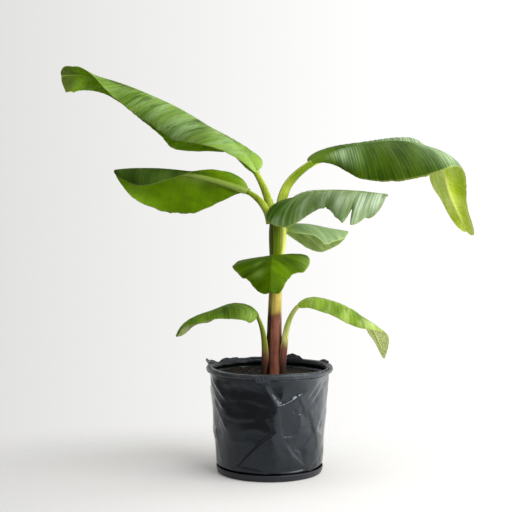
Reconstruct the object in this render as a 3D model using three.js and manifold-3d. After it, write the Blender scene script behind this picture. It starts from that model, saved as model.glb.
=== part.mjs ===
// Young banana plant in a black film pot on a saucer.
// Millimetres, +Z up, +Y away from the viewer; the origin is on the floor, on the pot's axis.
import * as THREE from "three";
import { mergeVertices } from "three/addons/utils/BufferGeometryUtils.js";
import Module from "manifold-3d";

// Driving sizes of the pot.
const RIM_RADIUS = 150;
const RIM_TOP = 251;
const RIM_BAND = 14;
const BAG_TOP_RADIUS = 139.5;
const BAG_FOOT_RADIUS = 120;
const BAG_BULGE_RADIUS = 125;
const BAG_WALL = 6;
const BAG_FLOOR = 6;
const SAUCER_RADIUS = 126.5;
const SAUCER_HEIGHT = 16;
const SAUCER_WALL = 2.4;
const SAUCER_FLOOR = 3;
const SOIL_LEVEL = 231;
const GAP = 0.4;
const BEND_GAP = 2.2;
const SOIL_CLEARANCE = 1.1;
const POT_SEGMENTS = 42;
const SCRAP_ROOT = 6;
const SCRAP_THICKNESS = 1.6;
const SCRAP_SECTIONS = 8;

// Driving sizes of the false stem, from the flat cut on the soil up to the crown.
const STEM_FOOT = 231.6;
const STEM_LENGTH = 378;
const STEM_X = [12, 12.5, 13, 13.5, 15, 17, 19, 18];
const STEM_RADII = [18.5, 16.4, 15.2, 14.6, 14.6, 16.2, 20.5, 17];
const STEM_SIDES = 14;
const STEM_SECTIONS = 12;
const STEM_DEPTH_SHARE = 0.92;

// Slack folds of the film: how many go round, how far they stand out, how they set out and lean.
const BROAD_FOLDS = { count: 3, depth: 1.6, start: 1.1, lean: 2.2 };
const NARROW_FOLDS = { count: 7, depth: 1.1, start: -0.6, lean: -1.7 };
const FOLDS_FROM = 22;
const FOLDS_HEIGHT = 205;

// Surface of the soil: its dip under the level, its two heaps and its lumps; a flat round the stem.
const SOIL_DIP = 3.6;
const HEAPS = { count: 2, height: 2.2, start: 0.6, spread: 34 };
const LUMPS = { count: 9, height: 1.1, spread: 9 };
const FLAT_SHARE = 0.4;

const SPINE_STEPS = 96;
const ACROSS_STEPS = 4;
const PROFILE_POWER = 2.6;
const WIDEST_AT = 0.42;
const RIPPLES = 3;

// A leaf's thickness is a share of its length; its blade fills this span of the length.
const LEAF_THICKNESS = 0.0101;
const BLADE_START = 0.025;
const BLADE_END = 0.992;

const polythene = new THREE.MeshStandardMaterial({ color: 0x1d1e20, roughness: 0.35 });
const plastic = new THREE.MeshStandardMaterial({ color: 0x232426, roughness: 0.5 });
const earth = new THREE.MeshStandardMaterial({ color: 0x2a211b, roughness: 1 });
const stalk = new THREE.MeshStandardMaterial({ color: 0x9a9a45, roughness: 0.6 });
const foliage = new THREE.MeshStandardMaterial({ color: 0x5d8f2c, roughness: 0.6 });

const wasm = await Module();
wasm.setup();

const radians = (degrees) => (degrees * Math.PI) / 180;

// Value at t, from 0 to 1, of a smooth curve through evenly spaced stations.
function through(stations, t) {
  const last = stations.length - 1;
  if (last < 1) {
    return stations[0];
  }
  const x = Math.min(Math.max(t, 0), 1) * last;
  const i = Math.min(Math.floor(x), last - 1);
  const f = x - i;
  const a = stations[Math.max(i - 1, 0)];
  const b = stations[i];
  const c = stations[i + 1];
  const d = stations[Math.min(i + 2, last)];
  const linear = (c - a) * f;
  const square = (2 * a - 5 * b + 4 * c - d) * f * f;
  const cube = (3 * b - a - 3 * c + d) * f * f * f;
  return 0.5 * (2 * b + linear + square + cube);
}

// Direction of a line at t, from its pitch and heading stations in degrees.
function direction(line, t) {
  const pitch = radians(through(line.pitch, t));
  const heading = radians(through(line.heading, t));
  return new THREE.Vector3(
    Math.cos(pitch) * Math.cos(heading),
    Math.cos(pitch) * Math.sin(heading),
    Math.sin(pitch),
  );
}

// Points along a line that sets out from line.start and turns through its stations.
function spinePoints(line) {
  const points = [line.start.clone()];
  const step = line.length / SPINE_STEPS;
  for (let k = 0; k < SPINE_STEPS; k += 1) {
    const here = direction(line, k / SPINE_STEPS);
    const next = direction(line, (k + 1) / SPINE_STEPS);
    const move = here.add(next).multiplyScalar(step / 2);
    points.push(points[k].clone().add(move));
  }
  return points;
}

// Position, tangent, right-hand side and upper normal of a line at t.
function frameAt(line, t) {
  const x = Math.min(Math.max(t, 0), 1) * SPINE_STEPS;
  const i = Math.min(Math.floor(x), SPINE_STEPS - 1);
  const position = line.points[i].clone().lerp(line.points[i + 1], x - i);
  const tangent = direction(line, t);
  const heading = radians(through(line.heading, t));
  const level = new THREE.Vector3(Math.sin(heading), -Math.cos(heading), 0);
  const upper = new THREE.Vector3().crossVectors(level, tangent);
  const roll = radians(through(line.roll, t));
  const side = level.clone().multiplyScalar(Math.cos(roll));
  side.addScaledVector(upper, Math.sin(roll));
  const normal = upper.multiplyScalar(Math.cos(roll));
  normal.addScaledVector(level, -Math.sin(roll));
  return { position, tangent, side, normal };
}

// Closed geometry with faces outward, from points and corner triples.
function closedGeometry(points, corners) {
  const geometry = new THREE.BufferGeometry();
  geometry.setFromPoints(points);
  geometry.setIndex(corners);
  return geometry;
}

// Solid whose equal rings of points are joined along and closed at both ends.
function loft(rings) {
  const count = rings[0].length;
  const points = rings.flat();
  const corners = [];
  for (let r = 0; r + 1 < rings.length; r += 1) {
    for (let k = 0; k < count; k += 1) {
      const a = r * count + k;
      const b = r * count + ((k + 1) % count);
      corners.push(a, b, b + count, a, b + count, a + count);
    }
  }
  const capAt = (ring, offset, forward) => {
    const middle = new THREE.Vector3();
    ring.forEach((p) => middle.addScaledVector(p, 1 / count));
    points.push(middle);
    const centre = points.length - 1;
    for (let k = 0; k < count; k += 1) {
      const a = offset + k;
      const b = offset + ((k + 1) % count);
      if (forward) {
        corners.push(centre, a, b);
      } else {
        corners.push(centre, b, a);
      }
    }
  };
  capAt(rings[0], 0, false);
  capAt(rings[rings.length - 1], (rings.length - 1) * count, true);
  return solid(closedGeometry(points, corners));
}

// A closed geometry as a solid for joins and cuts, turned right side out.
function solid(geometry) {
  const bare = geometry.clone();
  bare.deleteAttribute("normal");
  bare.deleteAttribute("uv");
  const merged = mergeVertices(bare, 1e-4);
  const triVerts = new Uint32Array(merged.index.array);
  const vertProperties = new Float32Array(merged.attributes.position.array);
  const build = () => new wasm.Manifold(new wasm.Mesh({ numProp: 3, vertProperties, triVerts }));
  const made = build();
  if (made.volume() > 0) {
    return made;
  }
  for (let i = 0; i < triVerts.length; i += 3) {
    const kept = triVerts[i + 1];
    triVerts[i + 1] = triVerts[i + 2];
    triVerts[i + 2] = kept;
  }
  return build();
}

// The largest connected body of a solid.
function largest(body) {
  const bodies = body.decompose();
  let best = bodies[0];
  for (const one of bodies) {
    if (one.volume() > best.volume()) {
      best = one;
    }
  }
  return best;
}

// A mesh from a solid that stands in the whole part's frame, placed at its anchor.
function meshOf(name, body, material, anchor) {
  const data = body.translate([-anchor.x, -anchor.y, -anchor.z]).getMesh();
  const geometry = new THREE.BufferGeometry();
  geometry.setAttribute("position", new THREE.BufferAttribute(data.vertProperties, 3));
  geometry.setIndex(new THREE.BufferAttribute(data.triVerts, 1));
  geometry.computeVertexNormals();
  const mesh = new THREE.Mesh(geometry, material);
  mesh.name = name;
  mesh.position.copy(anchor);
  return mesh;
}

// Round tapering limb along a line, from t0 to t1; extra makes it thicker and longer.
function limb(line, radii, options) {
  const { t0 = 0, t1 = 1, rings = 8, sides = 10, drop = 0, extra = 0 } = options;
  const sections = [];
  for (let k = 0; k <= rings; k += 1) {
    const t = t0 + ((t1 - t0) * k) / rings;
    const frame = frameAt(line, t);
    const radius = through(radii, t) + extra;
    const centre = frame.position.addScaledVector(frame.normal, -drop * radius);
    if (k === 0) {
      centre.addScaledVector(frame.tangent, -extra);
    }
    if (k === rings) {
      centre.addScaledVector(frame.tangent, extra);
    }
    const section = [];
    for (let s = 0; s < sides; s += 1) {
      const angle = (2 * Math.PI * s) / sides;
      const point = centre.clone();
      point.addScaledVector(frame.side, radius * Math.cos(angle));
      point.addScaledVector(frame.normal, radius * Math.sin(angle));
      section.push(point);
    }
    sections.push(section);
  }
  return loft(sections);
}

// Share of the full half width at t: zero at both ends of the blade, one at its widest.
function widthShare(leaf, t) {
  const reach = t < leaf.widest ? leaf.widest : 1 - leaf.widest;
  const away = Math.abs((t - leaf.widest) / reach);
  return Math.sqrt(Math.max(1 - away ** PROFILE_POWER, 0));
}

// Points of one half blade across from the midrib to the margin, at t.
function acrossAt(leaf, hand, t, columns) {
  const frame = frameAt(leaf, t);
  const half = hand < 0 ? leaf.left : leaf.right;
  const width = leaf.width * widthShare(leaf, t) * through(half.width, t);
  const atRib = through(half.rib, t);
  const atEdge = through(half.edge, t);
  const swept = radians(through(leaf.sweep, t));
  const outward = frame.side.clone().multiplyScalar(hand * Math.cos(swept));
  outward.addScaledVector(frame.tangent, Math.sin(swept));
  const steps = columns * ACROSS_STEPS;
  const here = frame.position.clone();
  const points = [here.clone()];
  const phase = 2 * Math.PI * leaf.ripples * t + hand;
  for (let k = 0; k < steps; k += 1) {
    const share = (k + 0.5) / steps;
    const angle = radians(atRib + (atEdge - atRib) * share);
    here.addScaledVector(outward, (width / steps) * Math.cos(angle));
    here.addScaledVector(frame.normal, (width / steps) * Math.sin(angle));
    if ((k + 1) % ACROSS_STEPS === 0) {
      const u = (k + 1) / steps;
      const lift = leaf.ripple * u * u * Math.sin(phase) * widthShare(leaf, t);
      points.push(here.clone().addScaledVector(frame.normal, lift));
    }
  }
  return points;
}

// Unit normals of a grid of points, by differences of its neighbours.
function gridNormals(grid) {
  return grid.map((row, i) => row.map((point, j) => {
    const before = grid[Math.max(i - 1, 0)][j];
    const after = grid[Math.min(i + 1, grid.length - 1)][j];
    const inner = row[Math.max(j - 1, 0)];
    const outer = row[Math.min(j + 1, row.length - 1)];
    const along = after.clone().sub(before);
    const across = outer.clone().sub(inner);
    return along.cross(across).normalize();
  }));
}

// One half blade as a closed thin solid.
function halfBlade(leaf, hand, options) {
  const { t0, t1, rows, columns, thickness } = options;
  const grid = [];
  for (let i = 0; i <= rows; i += 1) {
    grid.push(acrossAt(leaf, hand, t0 + ((t1 - t0) * i) / rows, columns));
  }
  const normals = gridNormals(grid);
  const sections = grid.map((row, i) => {
    const over = row.map((p, j) => p.clone().addScaledVector(normals[i][j], thickness / 2));
    const under = row.map((p, j) => p.clone().addScaledVector(normals[i][j], -thickness / 2));
    return over.concat(under.reverse());
  });
  return loft(sections);
}

// A whole blade or a length of it: both halves joined to a tapering keel under the midrib.
function blade(leaf, t0, t1, rows) {
  const keelStart = t0 === BLADE_START ? 0 : t0;
  const thickness = leaf.length * leaf.thick;
  const columns = leaf.columns;
  const options = { t0, t1, rows, columns, thickness };
  const keel = limb(leaf, leaf.keel, { t0: keelStart, t1, rings: rows, sides: 5, drop: 0.5 });
  const halves = halfBlade(leaf, -1, options).add(halfBlade(leaf, 1, options));
  return halves.add(keel);
}

// A leaf: its stalk line and its blade line, which sets out where the stalk ends.
function makeLeaf(sizes) {
  const { stalkLength, rise, turn, stalkRadii } = sizes;
  const stalkLine = {
    start: new THREE.Vector3(...sizes.start),
    length: stalkLength,
    pitch: rise,
    heading: turn,
    roll: [0],
  };
  stalkLine.points = spinePoints(stalkLine);
  const keelRadius = stalkRadii[stalkRadii.length - 1];
  const leaf = {
    roll: [0],
    widest: WIDEST_AT,
    ripples: RIPPLES,
    thick: LEAF_THICKNESS,
    keel: [keelRadius, keelRadius * 0.7, keelRadius * 0.45, 1.6],
    ...sizes,
    start: stalkLine.points[SPINE_STEPS].clone(),
  };
  leaf.points = spinePoints(leaf);
  leaf.stalkLine = stalkLine;
  return leaf;
}

const upperLeft = makeLeaf({
  start: [9, 0, 596],
  stalkLength: 120,
  rise: [80, 70, 58],
  turn: [180, 178, 176],
  stalkRadii: [14, 12, 9.5, 7.5],
  length: 526,
  width: 88,
  pitch: [46, 44, 35, 25, 21, 10, -8],
  heading: [177, 179, 186],
  roll: [5, 0, 0, 0, 0, 0, -12, -58, -80],
  left: {
    rib: [60, 35, -25, -30, -25, -10],
    edge: [-60, -70, -120, -120, -50, -30],
    width: [0.7, 1.2, 1.0, 0.9, 0.65, 0.6, 0.85],
  },
  right: {
    rib: [85, 50, 0, -30, -30, -10, -10],
    edge: [20, -55, -125, -140, -100, -55, -40],
    width: [0.8, 1.3, 1.45, 0.95, 0.68, 0.6, 1.15],
  },
  sweep: [-45, 15, 25, 45],
  ripple: 2.5,
  columns: 4,
});

const middleLeft = makeLeaf({
  start: [2, -6, 586],
  stalkLength: 96,
  rise: [82, 55, 28],
  turn: [185, 182, 180],
  stalkRadii: [11, 10, 9, 6.5],
  length: 321,
  width: 93,
  pitch: [23, 16, 9, 2, -5],
  heading: [180, 180, 178],
  left: {
    rib: [60, 42, 38, 22, 25],
    edge: [150, 75, -80, -120, -105],
    width: [0.45, 0.32, 0.45, 0.85, 0.55],
  },
  right: {
    rib: [-25, -40, -55, -40, -65],
    edge: [-115, -110, -70, -90, -105],
    width: [0.15, 0.62, 1.05, 1.2, 1.2, 1.05, 0.78],
  },
  sweep: [-20, 10, 20, 40],
  ripple: 0.8,
  columns: 4,
});

const upperRight = makeLeaf({
  start: [24, 2, 592],
  stalkLength: 166,
  rise: [91, 76, 46, 33],
  turn: [2, 4, 6],
  stalkRadii: [15, 13, 11, 9],
  length: 591,
  width: 100,
  pitch: [34, 12, 4, -25, -62, -42, -38],
  heading: [10, 12, 12, 24, 50, 55, 64],
  left: {
    rib: [40, 20, 22, 30, 0],
    edge: [0, -25, 15, 25, -20],
    width: [0.85, 0.5, 0.75, 1.1, 0.75, 0.4],
  },
  right: {
    rib: [-35, -25, 35, -20],
    edge: [-125, -60, -40, -40],
    width: [0.2, 1.1, 1.45, 0.8, 0.55, 0.85],
  },
  sweep: [-30, 10, 25, 40],
  ripple: 1.0,
  columns: 4,
});

const frontRight = makeLeaf({
  start: [22, -14, 580],
  stalkLength: 59,
  rise: [100, 70, 38],
  turn: [-30, -34, -36],
  stalkRadii: [8, 7, 5.5],
  length: 266,
  width: 100,
  pitch: [35, 9, 2, -4, -4],
  heading: [-40, -33, -28, -27],
  left: { rib: [30, 12, 5], edge: [-15, -28, -25], width: [1, 1, 0.75] },
  right: {
    rib: [40, -43, -35, -45],
    edge: [-35, -95, -65, -80],
    width: [1.1, 1.2, 0.55, 0.45, 0.9, 1.1, 1.2],
  },
  sweep: [-45, -25, 0, 0],
  ripple: 1.0,
  thick: 0.0115,
  columns: 4,
});

const backRight = makeLeaf({
  start: [26, 12, 544],
  stalkLength: 36,
  rise: [81, 55, 27],
  turn: [40, 38, 36],
  stalkRadii: [7, 5.5, 4.5],
  length: 186,
  width: 62,
  pitch: [26, 2, -11, -9, -10],
  heading: [33, 35, 30],
  left: { rib: [30, -20, -35], edge: [-50, -52, -100], width: [1.3, 1.5, 0.88] },
  right: { rib: [-8, -30, -28], edge: [-55, -88, -92], width: [0.7, 0.6, 0.8, 0.65, 0.45] },
  sweep: [-15, 15, 30, 35],
  ripple: 1.5,
  thick: 0.015,
  columns: 3,
});

const front = makeLeaf({
  start: [16, -8, 494],
  stalkLength: 22,
  rise: [50, 36, 23],
  turn: [-92, -94],
  stalkRadii: [6, 5],
  length: 178,
  width: 88,
  pitch: [15, 7, -25, -58, -79],
  heading: [-96, -96, -94],
  left: { rib: [25, -20, -12], edge: [5, -58, -30], width: [0.98, 1.02, 0.68, 0.55, 0.55] },
  right: { rib: [5, -20, -8], edge: [-8, -34, -22], width: [1.3, 1.18, 0.92, 0.7, 0.55] },
  sweep: [-15, 10, 20, 45],
  ripple: 2.0,
  thick: 0.016,
  columns: 4,
});

const lowerLeft = makeLeaf({
  start: [-13, -7, 232],
  stalkLength: 140,
  rise: [91, 91, 88, 77, 62],
  turn: [180, 180],
  stalkRadii: [9, 8.5, 7.5, 6.5, 5],
  length: 226,
  width: 44,
  pitch: [53, 13, -17, -17, -35, -70],
  heading: [185, 187, 190],
  left: { rib: [-10, 11, 20], edge: [-95, -60, -30], width: [1.35, 1.05, 0.85] },
  right: { rib: [40, 8, -18], edge: [-20, -88, -70], width: [1.05, 0.95, 1.0] },
  sweep: [-40, 8, 20, 30],
  ripple: 2.0,
  thick: 0.014,
  columns: 3,
});

const lowerRight = makeLeaf({
  start: [30, -8, 232.25],
  stalkLength: 168,
  rise: [85, 85, 85, 71, 48],
  turn: [0, 0],
  stalkRadii: [10, 9.5, 8.5, 7, 5.5],
  length: 318,
  width: 46,
  pitch: [38, -4, -22, -35, -50, -47, -54],
  heading: [2, 6, 12, 34, 58, 68],
  left: { rib: [30, 14, 28, 35], edge: [-20, -22, 10, 25], width: [0.85, 0.75, 1.0, 0.6] },
  right: {
    rib: [-10, -24, 15, -30],
    edge: [-90, -65, -20, -52],
    width: [0.7, 0.92, 1.4, 0.9, 0.5],
  },
  sweep: [-35, 10, 25, 50],
  ripple: 1.5,
  thick: 0.013,
  columns: 3,
});

// Trunk: a stack of round sections whose middle leans by the stations of STEM_X.
function stemSolid(extra) {
  const rings = [];
  for (let k = 0; k <= STEM_SECTIONS; k += 1) {
    const t = k / STEM_SECTIONS;
    const radius = through(STEM_RADII, t) + extra;
    let z = STEM_FOOT + STEM_LENGTH * t;
    if (k === 0) {
      z -= extra;
    }
    if (k === STEM_SECTIONS) {
      z += extra;
    }
    const ring = [];
    for (let s = 0; s < STEM_SIDES; s += 1) {
      const angle = (2 * Math.PI * s) / STEM_SIDES;
      const x = through(STEM_X, t) + radius * Math.cos(angle);
      const y = radius * STEM_DEPTH_SHARE * Math.sin(angle);
      ring.push(new THREE.Vector3(x, y, z));
    }
    rings.push(ring);
  }
  return loft(rings);
}

// Turned solid from a profile of [radius, height] pairs.
function turned(profile, segments, shape) {
  const points = profile.map(([r, z]) => new THREE.Vector2(r, z));
  const geometry = new THREE.LatheGeometry(points, segments);
  geometry.rotateX(Math.PI / 2);
  if (shape) {
    const position = geometry.getAttribute("position");
    for (let i = 0; i < position.count; i += 1) {
      const x = position.getX(i);
      const y = position.getY(i);
      const z = position.getZ(i);
      const radius = Math.hypot(x, y);
      const next = shape(radius, Math.atan2(y, x), z);
      const scale = radius > 1e-6 ? next.radius / radius : 1;
      position.setXYZ(i, x * scale, y * scale, next.z);
    }
  }
  return solid(geometry);
}

// Depth of the film's slack folds at an angle and height.
function foldDepth(angle, z) {
  const height = z / RIM_TOP;
  const fold = (set) => set.depth * Math.sin(set.count * angle + set.start + set.lean * height);
  const share = Math.min(Math.max((z - FOLDS_FROM) / FOLDS_HEIGHT, 0), 1);
  return Math.sin(Math.PI * share) * (fold(BROAD_FOLDS) + fold(NARROW_FOLDS));
}

function saucerSolid() {
  const outer = SAUCER_RADIUS;
  const inner = outer - SAUCER_WALL;
  return turned([
    [0, 0],
    [outer - 8, 0],
    [outer - 3, 3],
    [outer, SAUCER_HEIGHT],
    [inner, SAUCER_HEIGHT],
    [inner - 3, SAUCER_FLOOR + 1],
    [inner - 5, SAUCER_FLOOR],
    [0, SAUCER_FLOOR],
  ], POT_SEGMENTS);
}

function bagSolid() {
  const foot = SAUCER_FLOOR + GAP;
  const top = RIM_TOP - RIM_BAND - GAP;
  const bulge = SAUCER_HEIGHT + 8;
  const innerTop = BAG_TOP_RADIUS - BAG_WALL;
  const innerFoot = BAG_FOOT_RADIUS - BAG_WALL;
  const levels = 7;
  const profile = [[0, foot], [BAG_FOOT_RADIUS - 4, foot], [BAG_FOOT_RADIUS, foot + 5]];
  profile.push([BAG_FOOT_RADIUS + 1, SAUCER_HEIGHT - 1]);
  for (let k = 0; k <= levels; k += 1) {
    const share = k / levels;
    const radius = BAG_BULGE_RADIUS + (BAG_TOP_RADIUS - BAG_BULGE_RADIUS) * share;
    profile.push([radius, bulge + (top - bulge) * share]);
  }
  profile.push([innerTop, top]);
  profile.push([innerFoot, foot + BAG_FLOOR]);
  profile.push([0, foot + BAG_FLOOR]);
  const skin = BAG_FOOT_RADIUS - 5;
  return turned(profile, POT_SEGMENTS, (radius, angle, z) => {
    const share = (z - foot) / (top - foot);
    const middle = skin + (BAG_TOP_RADIUS - 3 - skin) * share;
    const depth = radius > middle ? foldDepth(angle, z) : 0;
    return { radius: radius + depth, z };
  });
}

// Height of the soil at a point of its surface.
function soilHeight(radius, angle) {
  const swell = Math.sin(radius / HEAPS.spread);
  const heap = HEAPS.height * Math.sin(HEAPS.count * angle + HEAPS.start) * swell;
  const lumps = LUMPS.height * Math.sin(LUMPS.count * angle + radius / LUMPS.spread);
  return SOIL_LEVEL - SOIL_DIP + heap + lumps;
}

function soilSolid() {
  const foot = SAUCER_FLOOR + GAP + BAG_FLOOR + GAP;
  const innerFoot = BAG_FOOT_RADIUS - BAG_WALL - SOIL_CLEARANCE;
  const innerTop = BAG_TOP_RADIUS - BAG_WALL - SOIL_CLEARANCE;
  const share = (SOIL_LEVEL - foot) / (RIM_TOP - RIM_BAND - foot);
  const edge = innerFoot + (innerTop - innerFoot) * share;
  const profile = [[0, foot], [innerFoot, foot], [edge, SOIL_LEVEL]];
  const around = [0.86, 0.66, 0.44, 0.3];
  around.forEach((part) => profile.push([edge * part, SOIL_LEVEL]));
  profile.push([0, SOIL_LEVEL]);
  return turned(profile, POT_SEGMENTS, (radius, angle, z) => {
    if (z < SOIL_LEVEL - 1) {
      return { radius, z };
    }
    const flat = radius < edge * FLAT_SHARE;
    return { radius, z: flat ? SOIL_LEVEL : soilHeight(radius, angle) };
  });
}

// Film rolled over the pot's rim as a band, a little uneven round its top.
function rimSolid() {
  const low = RIM_TOP - RIM_BAND;
  const inner = BAG_TOP_RADIUS - 5.5;
  return turned([
    [inner, low],
    [RIM_RADIUS - 4, low],
    [RIM_RADIUS - 0.8, low + 3],
    [RIM_RADIUS, low + 9],
    [RIM_RADIUS - 2.5, RIM_TOP - 1],
    [RIM_RADIUS - 7, RIM_TOP],
    [inner + 2.5, RIM_TOP - 1.5],
    [inner, low + 7],
    [inner, low],
  ], POT_SEGMENTS, (radius, angle, z) => {
    const lift = z > low + 5 ? 1.2 * Math.sin(4 * angle + 0.5) : 0;
    return { radius, z: z + lift };
  });
}

// Scrap of film that stands on the rim: a thin curved blade between two angles in degrees.
function scrapSolid(sizes) {
  const { from, to, radius, height, lean } = sizes;
  const foot = RIM_TOP - SCRAP_ROOT;
  const thickness = SCRAP_THICKNESS;
  const rings = [];
  for (let k = 0; k <= SCRAP_SECTIONS; k += 1) {
    const share = k / SCRAP_SECTIONS;
    const angle = radians(from + (to - from) * share);
    const tall = Math.max(foot + 4, RIM_TOP + through(height, share));
    const out = through(lean, share);
    const ring = [
      [radius - thickness / 2, foot],
      [radius + thickness / 2, foot],
      [radius + out * 0.5 + thickness / 2, (foot + tall) / 2],
      [radius + out + thickness / 2, tall],
      [radius + out - thickness / 2, tall],
      [radius + out * 0.5 - thickness / 2, (foot + tall) / 2],
    ];
    rings.push(ring.map(([r, z]) => new THREE.Vector3(r * Math.cos(angle), r * Math.sin(angle), z)));
  }
  return loft(rings);
}

function filmRim() {
  const scraps = [
    { from: 166, to: 208, radius: 143, height: [-3, 11, 17, 15, 6, -3], lean: [0, 3, 6, 5, 2, 0] },
    { from: 52, to: 84, radius: 141, height: [-3, 5, 10, 8, 3, -3], lean: [0, 2, 3, 1, 0] },
    { from: 8, to: 36, radius: 142, height: [-3, 4, 7, 3, -3], lean: [0, 4, 2, 3, 0] },
    { from: 330, to: 352, radius: 143, height: [-3, 4, 2, 5, -3], lean: [0, 3, 1, 2, 0] },
    { from: 258, to: 268, radius: 146, height: [-3, 2, 2, -3], lean: [1, 3, 3, 1] },
  ];
  return scraps.reduce((body, sizes) => body.add(scrapSolid(sizes)), rimSolid());
}

// Assembly: what carries is set first, and each later piece is cut clear of it.
const group = new THREE.Group();
group.name = "potted_banana_plant";

// A named sub-assembly, set at a point of the whole part's frame.
function assembly(name, parent, point) {
  const made = new THREE.Group();
  made.name = name;
  made.position.copy(point).sub(parent.getWorldPosition(new THREE.Vector3()));
  parent.add(made);
  return made;
}

// Sets a solid into a sub-assembly by the point that it is fixed at.
function place(parent, name, body, material, anchor) {
  const mesh = meshOf(name, body, material, anchor);
  mesh.position.copy(anchor).sub(parent.getWorldPosition(new THREE.Vector3()));
  parent.add(mesh);
}

const onAxis = (height) => new THREE.Vector3(0, 0, height);
const pot = assembly("pot", group, onAxis(0));
place(pot, "saucer", saucerSolid(), plastic, onAxis(0));
place(pot, "film_pot", bagSolid(), polythene, onAxis(SAUCER_FLOOR + GAP));
place(pot, "film_rim", filmRim(), polythene, onAxis(RIM_TOP - RIM_BAND));
place(pot, "soil", soilSolid(), earth, onAxis(SOIL_LEVEL));

const stemFoot = new THREE.Vector3(STEM_X[0], 0, STEM_FOOT);
const plant = assembly("plant", group, stemFoot);
place(plant, "false_stem", stemSolid(0), stalk, stemFoot);
let cleared = stemSolid(GAP);

const stalkOf = (leaf, extra) => {
  const end = 1 - GAP / leaf.stalkLength;
  return limb(leaf.stalkLine, leaf.stalkRadii, { t1: end, extra, rings: 9, sides: 10 });
};

const leaves = [
  { leaf: upperRight, name: "upper_right", rows: 10, bend: 0.6, tipRows: 7 },
  { leaf: upperLeft, name: "upper_left", rows: 15 },
  { leaf: middleLeft, name: "middle_left", rows: 11 },
  { leaf: frontRight, name: "front_right", rows: 11 },
  { leaf: backRight, name: "back_right", rows: 8 },
  { leaf: front, name: "front", rows: 9 },
  { leaf: lowerLeft, name: "lower_left", rows: 9 },
  { leaf: lowerRight, name: "lower_right", rows: 7, bend: 0.52, tipRows: 6 },
];

for (const one of leaves) {
  const { leaf, name } = one;
  const foot = leaf.stalkLine.start;
  one.frond = assembly(`frond_${name}`, plant, foot);
  const body = largest(stalkOf(leaf, 0).subtract(cleared));
  place(one.frond, `stalk_${name}`, body, stalk, foot);
  cleared = cleared.add(stalkOf(leaf, GAP));
}

for (const { leaf, name, frond, rows, bend, tipRows } of leaves) {
  const clear = bend ? BEND_GAP / 2 / leaf.length : 0;
  const end = bend ? bend - clear : BLADE_END;
  const body = blade(leaf, BLADE_START, end, rows);
  place(frond, `leaf_${name}`, largest(body.subtract(cleared)), foliage, leaf.start);
  if (bend) {
    const tip = blade(leaf, bend + clear, BLADE_END, tipRows);
    const anchor = frameAt(leaf, bend).position;
    place(frond, `leaf_${name}_tip`, largest(tip.subtract(cleared)), foliage, anchor);
  }
}

export default group;
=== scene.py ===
"""Dress the potted banana plant: blades, stalks, false stem, film pot, saucer and compost."""

import enum
import logging
import math
from dataclasses import dataclass, field
from typing import Any, ClassVar, Optional, Sequence

import bpy
import numpy as np
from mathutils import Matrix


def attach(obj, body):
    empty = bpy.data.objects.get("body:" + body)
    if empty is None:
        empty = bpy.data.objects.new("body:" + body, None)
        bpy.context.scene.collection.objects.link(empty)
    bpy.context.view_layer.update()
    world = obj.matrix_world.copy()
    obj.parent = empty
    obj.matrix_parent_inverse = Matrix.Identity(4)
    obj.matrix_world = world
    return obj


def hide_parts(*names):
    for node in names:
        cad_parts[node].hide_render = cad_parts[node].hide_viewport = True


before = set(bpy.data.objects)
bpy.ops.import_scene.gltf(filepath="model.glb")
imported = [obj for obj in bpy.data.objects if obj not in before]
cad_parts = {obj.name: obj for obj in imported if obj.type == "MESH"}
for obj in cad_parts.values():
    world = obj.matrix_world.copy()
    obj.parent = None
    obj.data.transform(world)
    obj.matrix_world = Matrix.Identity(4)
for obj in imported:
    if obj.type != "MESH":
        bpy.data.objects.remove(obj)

LOG = logging.getLogger("potted_banana_plant")

MM = 0.001
BODY = "root"

Array = np.ndarray
Triple = tuple[float, float, float]
Colour = Triple
Material = bpy.types.Material
Piece = bpy.types.Object
Socket = bpy.types.NodeSocket


class Slot(enum.Enum):
    """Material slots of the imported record."""

    SAUCER = "saucer_plastic"
    POT = "pot_film"
    COMPOST = "compost"
    STEM = "stem"
    LEAF = "leaf"


# Curves, waves and noise that the pieces are shaped with.


def through(stations: Sequence[float], t: Array) -> Array:
    """Read a smooth curve through evenly spaced stations.

    Args:
        stations: Values at equal steps from t = 0 to t = 1.
        t: Places along the curve, held between 0 and 1.

    Returns:
        The curve's value at each place.
    """
    values = np.asarray(stations, float)
    last = len(values) - 1
    if last < 1:
        return np.full(np.shape(t), values[0])
    x = np.clip(t, 0, 1) * last
    i = np.minimum(np.floor(x).astype(int), last - 1)
    f = x - i
    a = values[np.maximum(i - 1, 0)]
    b = values[i]
    c = values[i + 1]
    d = values[np.minimum(i + 2, last)]
    linear = (c - a) * f
    square = (2 * a - 5 * b + 4 * c - d) * f**2
    cube = (3 * b - a - 3 * c + d) * f**3
    return 0.5 * (2 * b + linear + square + cube)


def ease(x: Array) -> Array:
    """Return a smooth step from 0 at x = 0 to 1 at x = 1."""
    held = np.clip(x, 0, 1)
    return held * held * (3 - 2 * held)


def wander(x: Array, seed: int) -> Array:
    """Draw smooth noise of about one wave for each two units.

    Args:
        x: Places.
        seed: Seed of the draws.

    Returns:
        Values between -1 and 1.
    """
    values = np.random.default_rng(seed).uniform(-1, 1, 512)
    cell = np.floor(x).astype(int)
    share = ease(x - cell)
    return values[cell % 512] * (1 - share) + values[(cell + 1) % 512] * share


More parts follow.
